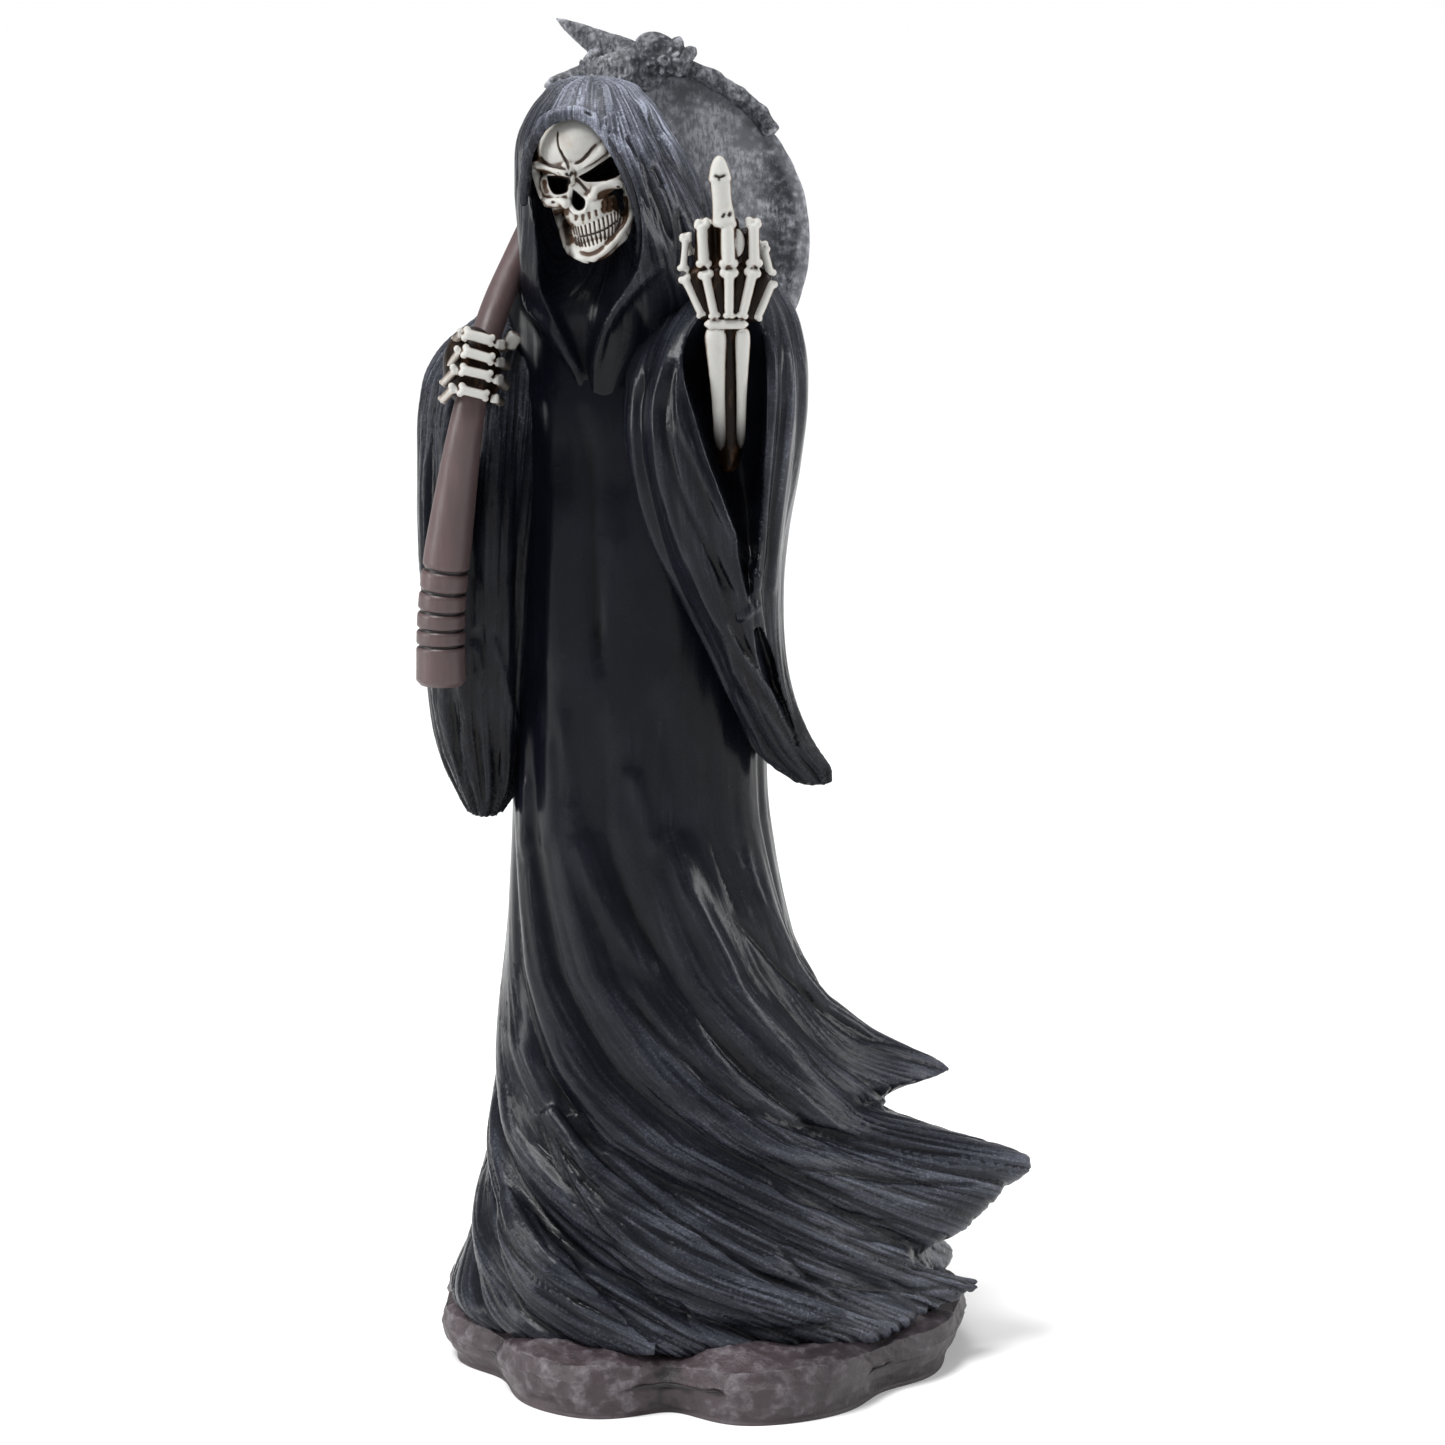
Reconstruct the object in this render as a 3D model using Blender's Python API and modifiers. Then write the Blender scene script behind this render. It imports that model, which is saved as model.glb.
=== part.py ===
"""Grim reaper figurine: a hooded skeleton with a scythe, cast in one piece with its rock base.

Metres, +Z up, the figure faces -Y. The origin is the middle of the base's flat underside.
The figure's places and carving are given in millimetres on a master 300 mm tall, and at() and
MM turn them into the model's own size. The base, the scythe and the cloth's walls have their
own sizes.
"""

import math

import bmesh
import bpy
import numpy as np
from mathutils import Euler, Matrix, Vector

# Driving dimensions, in metres
FIGURE_HEIGHT = 0.286  # top of the base to the tip of the scythe's spike
BASE_RADIUS = 0.0618  # to the outside of its longest lobe
BASE_HEIGHT = 0.014
SHAFT_RADIUS = 0.0033  # scythe shaft where the hand holds it
BUTT_RADIUS = 0.0055  # thick lower end of the shaft
RING_PITCH = 0.0041  # between the turned grooves above the butt
RING_COUNT = 5
RING_DEPTH = 0.0009
BLADE_WIDTH = 0.023
BLADE_THICKNESS = 0.0052
BLADE_SWEEP_RADIUS = 0.0386  # outer edge of the crescent
SPIKE_LENGTH = 0.0212
HOOD_WALL = 0.0022  # cloth at the rim round the face
SLEEVE_WALL = 0.0034  # cloth at the rim round the raised forearm

# How finely the casting is fused and then faceted
FUSE_VOXEL = 0.00075
TRIANGLES = 9700
# Places where the facets stay finer: centre and radius on the master, and how far they may merge
FINE_PLACES = (
    ((-24, -34, 265), 19, 0.6),
    ((6, -48, 250), 22, 0.6),
    ((-47, -32, 227), 12, 0.7),
    ((-10, 15, 292), 14, 0.75),
    ((-56, -26, 170), 14, 0.45),
)
MERGE_FACTOR = 0.4
NAME = "reaper_figurine"

# The master that the figure's own millimetres belong to
MASTER_FIGURE = 286.0
MASTER_BASE = 14.0
MM = FIGURE_HEIGHT / MASTER_FIGURE

# Rock base: where each cleft between its lobes is in degrees, its depth as a share, its half width
CLEFTS = (
    (-148, 0.115, 13),
    (-97, 0.175, 11),
    (-42, 0.085, 12),
    (-8, 0.02, 12),
    (32, 0.08, 11),
    (78, 0.14, 12),
    (124, 0.09, 10),
    (178, 0.05, 12),
)

# Cloth bodies on the master, top to bottom: height, left, right, front and back of each level
ROBE = (
    (250, -32, 4, -8, 12),
    (246, -40.5, 9, -14, 16),
    (240, -42.5, 12, -18, 18),
    (225, -43, 15, -22, 21),
    (200, -43, 16, -24, 22),
    (160, -42.6, 14.6, -25.5, 22),
    (122, -42.2, 15.2, -26.5, 23),
    (104, -42.8, 18.1, -28, 24),
    (90, -43.4, 22, -29.5, 25),
    (78, -44.2, 27, -31.5, 26),
    (57, -46.0, 37, -36, 29),
    (41, -48.2, 45, -40.5, 32),
    (24, -52.2, 50, -44.5, 36),
    (13, -53.8, 53, -47.5, 38),
    (9, -49, 49, -43, 35),
)
RAISED_SLEEVE = (
    (247, 6, 15, -16, 6),
    (244, -2, 16.4, -26, 10),
    (239, -8, 19.8, -37, 12),
    (232, -13, 22.0, -44, 14),
    (219, -16, 22.9, -46.5, 15),
    (204, -15, 21.3, -46.5, 15),
    (189, -10.7, 18.7, -44, 14),
    (176, -4, 17.6, -41, 12),
    (165, 1.5, 18, -37, 8),
    (156, 5.5, 19.4, -33.5, 3),
    (148, 9.5, 22, -29, -2),
    (141.5, 13, 25.4, -25, -6),
    (137, 17.5, 28.2, -21, -9),
    (133.6, 22.5, 28.4, -18, -12),
)
GRIP_SLEEVE = (
    (240, -43, -34, -3, 8),
    (235, -49, -33, -8, 12),
    (230, -55.4, -33, -13, 15),
    (225, -59, -33, -17, 16),
    (217, -61.2, -33, -20, 16),
    (205, -62, -34, -22, 16),
    (182, -62, -36, -23.5, 15),
    (168, -60.8, -37, -23.5, 13),
    (155, -60, -38, -22.5, 11),
    (140, -57.6, -39, -18, 9),
    (132, -54.6, -41, -16, 6),
    (125.5, -51, -45, -13, 2),
)
HOOD = (
    (288.4, -27, -20, -14, -6),
    (287.2, -31, -15.5, -21, 2),
    (284.5, -34.2, -12, -30, 8),
    (277, -38.9, -6.6, -38, 14),
    (266, -39.4, -0.4, -41, 17),
    (255, -38.8, 4.2, -40, 19),
    (247, -38.8, 6.5, -36, 19),
    (240, -39, 8.5, -31, 19),
    (232, -36.5, 5, -27, 18),
    (225, -33, -4, -23.4, 12),
    (216, -29, -14, -20.5, 4),
)

# The opening of the hood and its collar: height, left, right and back of each level to the rim's
# outside, and the share of the hood's wall that stays inside it
FACE_OPENING = (
    (283.4, -30, -20, -29, 1),
    (281.8, -33.2, -18.8, -25, 1),
    (277.5, -36.6, -16.6, -19, 1),
    (273, -38, -14.4, -16, 1),
    (266, -38.7, -11.4, -14, 1),
    (258, -38.7, -9.8, -14, 1),
    (250, -38.6, -10.4, -16, 1),
    (244, -38.6, -13.6, -18, 0.7),
    (239, -36.4, -17.4, -20, 0.2),
    (233.4, -32.6, -19.8, -20, 0),
    (228, -29.3, -21.4, -20.5, 0),
    (222.8, -26.2, -22.6, -22, 0),
    (219, -24.8, -23.2, -24, 0),
)

# Points of the hem that blow to the right, each a lobe of the robe: its angle in degrees, its half
# width, how far its front leans, and how far it reaches at each height
LOBES = (
    (7, 17, 0.05, (57, 61, 63, 65, 68, 73, 81, 94), (2, 13, 22.5, 21, 15.5, 9, 3, 0)),
    (-8, 19, -0.05,
        (24, 27, 31.5, 36, 40, 44, 47, 49.5, 52, 55, 59),
        (0, 3, 11.5, 18.5, 25.5, 30, 31, 25.5, 18, 9, 0),
    ),
    (32, 20, 0.10, (12, 16, 24, 34, 50), (8, 8.5, 6.5, 2.5, 0)),
)
# Flaps of the hem over the rock: spine from root to tip, half height and half thickness
FLAPS = (
    (((2, -30, 48), (20, -36, 27), (38, -27, 16.5), (62.5, -15, 18.4)), 9, 5),
    (((-34, -28, 62), (-20, -41, 38), (0, -49, 22), (32, -45, 20.8)), 8, 4.5),
    (((-42, -16, 46), (-44, -33, 33), (-32, -44, 20), (-9.7, -51.5, 14.2)), 8, 4.5),
)

# Carving on the front, as seen from there: (x, z) along it, its half width and how far it stands out
CARVING = (
    (((-38.6, 242.7), (-33.1, 233.4), (-26.7, 222.8), (-23.5, 211), (-23, 198)), 1.5, 1.3),
    (((-9.5, 249.5), (-14.5, 243.5), (-19, 236), (-22, 228), (-22.6, 213), (-20.6, 196)), 1.5, 1.5),
    (((-36, 225.5), (-39.8, 216), (-43, 207), (-43.8, 195), (-43.8, 176), (-40, 146)), 1.4, 1.4),
    (((-31, 222), (-29, 205), (-31, 190)), 1.6, 0.7),
    (((-17.2, 222), (-19, 205), (-18, 185), (-16, 160)), 1.8, 0.7),
    (((-30, 176), (-31, 150), (-30, 124)), 2.2, 0.8),
    (((-10, 170), (-6, 150), (-5, 128)), 2.2, 0.8),
    (((-20, 180), (-19, 158), (-20, 132)), 1.8, -0.8),
    (((-1, 240), (-6.5, 232), (-9.5, 219), (-8, 204), (-2, 188), (6, 172), (14, 158)), 1.3, -0.9),
    (((3, 240.5), (-1.5, 232), (-3.4, 215), (0, 203), (7, 186), (10.5, 178.5)), 1.0, 0.9),
    (((19.5, 234), (19.8, 215), (18.3, 198), (15, 182)), 1.2, 0.8),
)

# Raised hand, seen from its back: start and end of each bone, then its width at waist, start and end
METACARPALS = (
    ((0.6, -46.8, 239.9), (-2.9, -47.0, 247.5), 1.75, 2.4, 3.0),
    ((3.3, -48.0, 239.8), (1.5, -49.3, 248.5), 2.0, 2.6, 3.5),
    ((6.4, -48.4, 239.8), (6.4, -50.0, 248.9), 2.2, 2.6, 4.0),
    ((9.2, -48.0, 239.8), (11.3, -49.3, 248.9), 2.2, 2.6, 3.7),
    ((12.2, -45.6, 239.2), (15.2, -45.2, 246.4), 2.3, 2.6, 3.1),
)
FINGERS = (
    ((-3.2, -47.2, 249.6), (-2.7, -47.6, 255.8), 1.5, 2.7, 2.8),
    ((1.1, -49.4, 250.8), (0.7, -50.0, 258.8), 2.1, 3.3, 3.4),
    ((6.3, -50.1, 250.9), (6.0, -50.4, 259.0), 2.6, 4.0, 3.9),
    ((11.7, -49.4, 250.9), (11.5, -50.0, 259.0), 2.0, 3.6, 3.4),
    ((15.0, -45.0, 248.4), (13.7, -45.4, 253.4), 1.9, 2.9, 2.8),
)
FOLDED = (
    ((-2.7, -47.4, 256.4), (-1.8, -42.0, 252.6), 1.5, 2.8, 2.6),
    ((0.8, -49.6, 259.4), (1.6, -42.0, 254.6), 2.0, 3.4, 3.0),
    ((11.4, -49.6, 259.6), (10.6, -42.0, 254.6), 2.0, 3.4, 3.0),
    ((13.6, -45.2, 254.0), (10.4, -43.0, 256.0), 1.9, 2.8, 2.6),
)
UPRIGHT = (
    ((5.15, -50.2, 260.4), (4.65, -50.4, 268.6), 2.65, 0.25),
    ((4.55, -50.3, 269.2), (4.3, -49.8, 272.6), 2.45, -0.7),
)
CARPALS = ((1.6, -47.0, 237.9), (10.0, -47.0, 237.9), 1.15)
BONE_SPARE = 0.15  # the faceted bones keep this much more all round
FOREARM = (
    ((3.8, -46.2, 234.6), (4.8, -36.0, 211.0), 3.0, 5.4, 4.0),
    ((9.2, -46.0, 234.6), (8.9, -36.0, 211.4), 2.3, 4.1, 3.0),
)

# Gripping hand: for each finger, its bone behind the knuckle, then the one in front of the shaft
GRIP_KNUCKLES = (
    ((-52.4, -25.5, 232.6), (-50.6, -32.0, 234.8), 2.0, 2.4, 2.6),
    ((-54.2, -26.5, 226.6), (-51.2, -32.8, 231.0), 1.7, 2.0, 2.9),
    ((-55.2, -27.0, 223.4), (-52.1, -33.2, 227.0), 1.8, 2.0, 3.0),
    ((-55.4, -27.5, 219.9), (-52.5, -33.2, 223.0), 2.0, 2.2, 2.9),
)
GRIP_FINGERS = (
    ((-49.0, -33.4, 234.7), (-43.4, -33.2, 233.2), 2.5, 3.4, 2.6),
    ((-49.2, -34.0, 231.0), (-43.5, -33.8, 229.3), 2.1, 3.1, 2.7),
    ((-50.1, -34.2, 227.1), (-44.0, -34.0, 225.7), 2.0, 2.9, 2.7),
    ((-50.4, -34.0, 222.8), (-44.8, -33.8, 221.5), 1.9, 3.0, 2.6),
)
GRIP_TIPS = (
    ((-42.6, -32.6, 232.4), (-41.6, -28.0, 231.0), 2.2, 2.6, 2.2),
    ((-42.6, -33.0, 228.6), (-41.4, -28.6, 227.2), 2.2, 2.6, 2.2),
    ((-43.0, -33.4, 225.0), (-41.6, -29.4, 223.0), 2.4, 2.8, 2.4),
    ((-43.8, -33.0, 220.8), (-42.6, -28.8, 219.6), 2.0, 2.4, 2.2),
)
GRIP_THUMB = ((-40.7, -29.4, 232.0), (-39.5, -29.8, 233.8), 1.7)

# Scythe: the shaft's line from its butt to its socket, through the hand and behind the hood
SHAFT = (
    (-56.5, -24.6, 157.3),
    (-56.1, -24.8, 174.8),
    (-53.0, -26, 198.1),
    (-49.4, -27.6, 218.7),
    (-45.2, -20, 236),
    (-39.8, -6, 249),
    (-31.5, 9, 266),
    (-23, 18, 281),
    (-14, 19.5, 290),
)
BLADE_CENTRE = (-14.0, 20.0, 251.4)
BLADE_FROM, BLADE_TO = math.radians(108), math.radians(-44)
TUFT_RADIUS = 2.7

# Skull: where the middle of its brow's level is, and how it nods, leans and turns
SKULL_PLACE = (-24.3, -22.8, 270.9)
SKULL_TURN = Euler((math.radians(6), math.radians(-16), math.radians(-18)), "XYZ")
BROW_RADIUS, CHEEK_RADIUS = 1.7, 1.2
TEETH = 10  # across each row


def at(x, y, z):
    """A place on the figure, from the master's millimetres."""
    return Vector((x * MM, y * MM, BASE_HEIGHT + (z - MASTER_BASE) * MM))


def curve_through(values, xs, x):
    """Reads a smooth curve through rows of values, given at rising xs, at each x."""
    xs = np.asarray(xs, float)
    values = np.asarray(values, float)
    slopes = np.gradient(values, xs, axis=0)
    i = np.clip(np.searchsorted(xs, x) - 1, 0, len(xs) - 2)
    width = xs[i + 1] - xs[i]
    s = ((x - xs[i]) / width)[:, None]
    width = width[:, None]
    a, b = values[i], values[i + 1]
    return (
        a * (2 * s**3 - 3 * s**2 + 1)
        + b * (3 * s**2 - 2 * s**3)
        + slopes[i] * width * (s**3 - 2 * s**2 + s)
        + slopes[i + 1] * width * (s**3 - s**2)
    )


def bezier(points, t):
    """Points and directions of a cubic Bezier curve at each t."""
    p = [np.array(q, float) for q in points]
    t = t[:, None]
    u = 1 - t
    place = u**3 * p[0] + 3 * u**2 * t * p[1] + 3 * u * t**2 * p[2] + t**3 * p[3]
    along = u**2 * (p[1] - p[0]) + 2 * u * t * (p[2] - p[1]) + t**2 * (p[3] - p[2])
    return place, along / np.linalg.norm(along, axis=1, keepdims=True)


def tube_mesh(sides, rows, place):
    """A capped tube whose vertices place(share along it, angle round it) puts where they belong."""
    bm = bmesh.new()
    bmesh.ops.create_cone(bm, cap_ends=True, segments=sides, radius1=1, radius2=1, depth=1)
    uprights = [e for e in bm.edges if abs(e.verts[0].co.z - e.verts[1].co.z) > 0.5]
    bmesh.ops.subdivide_edges(bm, edges=uprights, cuts=rows - 1, use_grid_fill=True)
    unit = np.array([v.co for v in bm.verts])
    placed = place(unit[:, 2] + 0.5, np.arctan2(unit[:, 1], unit[:, 0]))
    for vert, co in zip(bm.verts, placed):
        vert.co = co
    bmesh.ops.recalc_face_normals(bm, faces=bm.faces)
    mesh = bpy.data.meshes.new("tube")
    bm.to_mesh(mesh)
    bm.free()
    return mesh


def ball_mesh(centre, radii, turn=Euler((0, 0, 0)), segments=20):
    """An ellipsoid in the master's millimetres about the origin of its own frame."""
    bm = bmesh.new()
    size = Matrix.Diagonal((*radii, 1))
    place = Matrix.Translation(centre) @ turn.to_matrix().to_4x4() @ size
    bmesh.ops.create_uvsphere(bm, u_segments=segments, v_segments=segments // 2, radius=1, matrix=place)
    mesh = bpy.data.meshes.new("ball")
    bm.to_mesh(mesh)
    bm.free()
    return mesh


def rod_mesh(start, end, radius_of, sides=12, rows=10, flat=1.0):
    """A round-ended rod from start to end, with its radius given along it and its depth flattened."""
    start, end = np.array(start, float), np.array(end, float)
    along = end - start
    length = np.linalg.norm(along)
    along = along / length
    side = np.cross(along, (0.0, 1.0, 0.0))
    side = side / np.linalg.norm(side)
    depth = np.cross(along, side)

    def place(t, angle):
        swell = radius_of(t)
        cap = np.sqrt(np.clip(1 - (2 * t - 1) ** 8, 0.02, 1))
        r = (swell * cap)[:, None]
        ring = np.cos(angle)[:, None] * side + np.sin(angle)[:, None] * depth * flat
        reach = (t * (length + radius_of(np.ones(1))[0]) - radius_of(np.zeros(1))[0] * 0.5)[:, None]
        return start + reach * along + r * ring

    return tube_mesh(sides, rows, place)


def bone_mesh(start, end, waist, wide_start, wide_end):
    """A long bone: a thin waist with a knob at each end, with the width given at each."""

    def half_width(t):
        wide = np.where(t < 0.5, wide_start, wide_end)
        return (waist + (wide - waist) * np.abs(2 * t - 1) ** 2.5) / 2 + BONE_SPARE

    return rod_mesh(start, end, half_width)


def level_mesh(levels, sides, rows, relief=None, square=2.3, lobes=(), back_square=None):
    """A draped body from its levels, with relief(height, angle) standing out from it in millimetres."""
    levels = np.array(sorted(levels), float)

    def place(t, angle):
        z = levels[0, 0] + t * (levels[-1, 0] - levels[0, 0])
        left, right, front, back = curve_through(levels[:, 1:], levels[:, 0], z).T
        cos, sin = np.cos(angle), np.sin(angle)
        half_x, half_y = (right - left) / 2, (back - front) / 2
        power = 2 / np.where(sin > 0, back_square or square, square)
        x = (left + right) / 2 + half_x * np.sign(cos) * np.abs(cos) ** power
        y = (front + back) / 2 + half_y * np.sign(sin) * np.abs(sin) ** power
        if relief is not None:
            nx, ny = cos / half_x, sin / half_y
            out = relief(z, angle) / np.hypot(nx, ny)
            x, y = x + nx * out, y + ny * out
        for middle, spread, lean, heights, reaches in lobes:
            off = np.degrees(angle) - middle
            reach = np.interp(z, heights, reaches, left=0, right=0) * np.exp(-((off / spread) ** 2))
            x, y = x + reach, y + reach * lean
        return np.stack([x, y, z], axis=1)

    return tube_mesh(sides, rows, place)


def ridges(angle, count, shift):
    """Round ridges with sharp valleys between them, from -1 to 1."""
    return 2 * np.abs(np.sin(angle * count / 2 + shift)) - 1


def robe_relief(z, angle):
    """The robe's folds: they start upright at the waist and wind to the right towards the hem."""
    heights = (8, 15, 23, 31, 46, 57, 71, 92, 125)
    wind = np.interp(z, heights, (2.75, 2.6, 2.3, 1.95, 1.4, 1.0, 0.66, 0.3, 0))
    depth = np.interp(z, (8, 20, 50, 90, 130, 200, 245), (1.8, 2.3, 2.4, 1.6, 0.8, 0.4, 0.2))
    cloth = angle - wind
    cloth = cloth + 0.10 * np.sin(3 * cloth + 0.6) + 0.06 * np.sin(5 * cloth + 1.0)
    return depth * (0.8 * ridges(cloth, 9, math.pi / 2) + 0.32 * ridges(cloth, 23, 0.9))


def sleeve_relief(z, angle):
    """Long folds down a hanging sleeve."""
    return 0.75 * ridges(angle + 0.006 * (z - 180), 9, 0.7) + 0.35 * ridges(angle, 16, 0.2)


def hood_relief(z, angle):
    """Soft creases over the hood, deeper on its sides and back."""
    depth = np.interp(z, (210, 235, 262, 280, 289), (0.3, 0.8, 0.9, 0.5, 0.0))
    return depth * ridges(angle + 0.02 * (z - 250), 8, 0.5)


def flap_mesh(spine, height, thickness):
    """A flap of the hem: it grows out of the robe, swells, and runs to a point, with folds along it."""

    def place(t, angle):
        centre, along = bezier(spine, t)
        side = np.cross(along, (0.0, 0.0, 1.0))
        side = side / np.linalg.norm(side, axis=1, keepdims=True)
        up = np.cross(side, along)
        taper = np.interp(t, (0, 0.3, 0.55, 0.8, 1), (0.15, 0.8, 1, 0.6, 0.04))
        across = np.cos(angle)
        folds = 1 + 0.20 * np.cos(3.2 * math.pi * across + 0.6) * (1 - t)
        h = (0.7 + height * taper)[:, None] * across[:, None]
        w = ((0.8 + thickness * taper) * folds * np.sin(angle))[:, None]
        return centre + up * h + side * w

    return tube_mesh(28, 26, place)


def carve(mesh, strokes):
    """Raises or sinks the front along each stroke, as a carver would before the figure is cast."""
    points = np.empty(len(mesh.vertices) * 3)
    mesh.vertices.foreach_get("co", points)
    points = points.reshape(-1, 3)
    normals = np.empty(len(mesh.vertices) * 3)
    mesh.vertex_normals.foreach_get("vector", normals)
    normals = normals.reshape(-1, 3)
    flat = (points[:, [0, 2]] - np.array([0, at(0, 0, 0).z])) / MM
    facing = np.clip(-normals[:, 1] * 2, 0, 1) * (points[:, 1] < -0.012)
    for path, half_width, stand in strokes:
        path = np.array(path, float)
        share = np.linspace(0, 1, len(path))
        line = curve_through(path, share, np.linspace(0, 1, 12 * len(path)))
        nearest = np.full(len(flat), 1e9)
        end = np.zeros(len(flat))
        for a, b, s in zip(line, line[1:], np.linspace(0, 1, len(line))):
            run = b - a
            t = np.clip(((flat - a) @ run) / (run @ run), 0, 1)
            away = np.hypot(*(flat - a - t[:, None] * run).T)
            closer = away < nearest
            nearest[closer] = away[closer]
            end[closer] = s
        fade = np.clip(np.minimum(end, 1 - end) * 6, 0, 1)
        bump = np.exp(-((nearest / half_width) ** 2)) * fade * facing
        points += normals * (stand * MM * bump)[:, None]
    mesh.vertices.foreach_set("co", points.ravel())
    mesh.update()


def cutter(mesh, name, cutters):
    """An object that only cuts."""
    made = bpy.data.objects.new(name, mesh)
    cutters.objects.link(made)
    made.hide_render = True
    made.display_type = "WIRE"
    return made


def applied(obj):
    """The object's mesh with its modifiers in it. The object is removed."""
    bpy.context.view_layer.update()
    graph = bpy.context.evaluated_depsgraph_get()
    mesh = bpy.data.meshes.new_from_object(obj.evaluated_get(graph))
    bpy.data.objects.remove(obj)
    return mesh


def joined(meshes, collection, name):
    """One object that holds all the meshes, still as separate shells."""
    bm = bmesh.new()
    for mesh in meshes:
        bm.from_mesh(mesh)
    whole = bpy.data.meshes.new(name)
    bm.to_mesh(whole)
    bm.free()
    made = bpy.data.objects.new(name, whole)
    collection.objects.link(made)
    return made


def cut(mesh, cutting_meshes, collection, cutters, name):
    """The mesh less each of the cutting meshes."""
    obj = joined([mesh], collection, name)
    tools = []
    for i, cutting in enumerate(cutting_meshes):
        tool = cutter(cutting, f"{name}_cutter_{i}", cutters)
        boolean = obj.modifiers.new("cut", "BOOLEAN")
        boolean.operation = "DIFFERENCE"
        boolean.object = tool
        tools.append(tool)
    mesh = applied(obj)
    for tool in tools:
        bpy.data.objects.remove(tool)
    return mesh


def robe_meshes():
    """The robe from the shoulders to the hem, and the flaps of the hem that lie on the rock."""
    body = level_mesh(ROBE, 180, 140, robe_relief, lobes=LOBES, back_square=2.6)
    return [body] + [flap_mesh(*flap) for flap in FLAPS]


def hood_meshes(collection, cutters):
    """The hood and its collar, hollow round the face and open down to the chest."""
    wall = HOOD_WALL / MM
    hood = level_mesh(HOOD, 90, 60, hood_relief, square=2.1, back_square=3.4)
    opening = [
        (z, left + wall * share, right - wall * share, -70, back)
        for z, left, right, back, share in FACE_OPENING
    ]
    return [cut(hood, [level_mesh(opening, 48, 40, square=2.6)], collection, cutters, "hood")]


def sleeve_meshes(collection, cutters):
    """The sleeve of the raised arm, open round the forearm, and the one behind the shaft."""
    wall = SLEEVE_WALL / MM
    raised = level_mesh(RAISED_SLEEVE, 80, 60, sleeve_relief)
    opening = (
        (262, -2, 14, -70, -33),
        (240, -5.2 + wall, 17.8 - wall, -70, -31),
        (232, -7 + wall, 18 - wall, -70, -28),
        (215, -3.4 + wall, 18.2 - wall, -70, -27),
        (195, 3.4 + wall, 17.2 - wall, -70, -30),
        (184, 9, 12.5, -70, -35),
        (178, 10.3, 11.3, -70, -40),
    )
    lower_fold = (
        (172, 11.5, 13.5, -70, -33),
        (166, 12, 16.5, -70, -28),
        (156, 15.5, 18.4, -70, -24),
        (147, 19.5, 21.5, -70, -22),
        (143, 21.5, 22.5, -70, -21),
    )
    hollows = [level_mesh(opening, 24, 20), level_mesh(lower_fold, 16, 14)]
    raised = cut(raised, hollows, collection, cutters, "raised_sleeve")
    grip = level_mesh(GRIP_SLEEVE, 60, 50, sleeve_relief)
    tabs = (((-56, -6, 150), (-50.6, -8, 124.6)), ((-48, -10, 150), (-43.5, -12, 129)))
    tabs = [rod_mesh(a, b, lambda t: 4.2 - 2.6 * t**2, flat=0.8) for a, b in tabs]
    return [raised, grip] + tabs


def plain_rod(start, end, radius, sides=12, rows=10):
    """A round-ended rod of one radius."""
    return rod_mesh(start, end, lambda t: radius + 0 * t, sides, rows)


def skull_solids():
    """The skull's bones in its own frame: facing -Y, with the level of the brow at 0."""
    solids = [
        ball_mesh((0, 1.5, 3.6), (10.7, 13.2, 10.4), segments=32),
        ball_mesh((0, -2.0, 4.6), (10.3, 10.9, 9.8), segments=32),
        ball_mesh((0, -7.6, -4.0), (8.6, 4.9, 6.2)),
        ball_mesh((0, -7.4, -9.8), (6.8, 6.0, 4.6)),
        ball_mesh((0, -7.2, -14.0), (6.9, 6.2, 4.0)),
        ball_mesh((0, -12.0, -18.4), (4.0, 2.6, 2.1)),
        plain_rod((0, -13.0, 2.0), (0, -14.4, -3.6), 1.2),
    ]
    for s in (-1, 1):
        solids += [
            rod_mesh((s * 0.5, -13.6, 1.5), (s * 9.8, -8.9, 6.3), lambda t: BROW_RADIUS - 0.4 * t),
            rod_mesh((s * 2.4, -12.4, -8.0), (s * 9.2, -8.6, -5.0), lambda t: CHEEK_RADIUS + 0.4 * t),
            plain_rod((s * 9.2, -8.6, -4.8), (s * 10.4, 1.0, -2.6), 1.3),
            plain_rod((s * 9.4, -8.4, -4.8), (s * 9.7, -7.8, 4.6), 1.15),
            plain_rod((s * 9.2, -1.0, -5.0), (s * 8.5, -4.0, -13.2), 2.0),
            plain_rod((s * 8.5, -4.0, -13.0), (s * 6.2, -9.4, -16.9), 2.1),
            plain_rod((s * 6.3, -9.4, -16.9), (s * 1.2, -12.4, -18.4), 2.2),
        ]
    for bottom, top, girth in ((-13.8, -10.9, 0.92), (-16.9, -14.5, 0.82)):
        for i in range(TEETH):
            a = math.radians(-78 + 156 * i / (TEETH - 1))
            x, y = 6.7 * math.sin(a), -7.6 - 6.1 * math.cos(a)
            solids.append(plain_rod((x, y, bottom), (x, y, top), girth, 8, 6))
    return solids


def skull_hollows():
    """What is hollow in the skull: the sockets under the angry brow, the nose and beside the teeth."""
    hollows = [
        ball_mesh((-0.85, -13.0, -6.6), (1.2, 3.6, 2.2), Euler((0, math.radians(14), 0))),
        ball_mesh((0.85, -13.0, -6.6), (1.2, 3.6, 2.2), Euler((0, math.radians(-14), 0))),
        ball_mesh((0, -13.6, -5.0), (0.8, 3.2, 1.9)),
    ]
    for s in (-1, 1):
        slant = Euler((0, math.radians(-s * 24), 0))
        hollows.append(ball_mesh((s * 5.2, -12.0, -0.9), (3.7, 5.0, 3.0), slant, 28))
        lean = Euler((0, math.radians(s * 12), 0))
        hollows.append(ball_mesh((s * 8.6, -8.6, -10.2), (2.0, 4.6, 3.2), lean))
        hollows.append(ball_mesh((s * 11.8, -7.0, 1.0), (1.7, 4.6, 3.4)))
    return hollows


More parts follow.
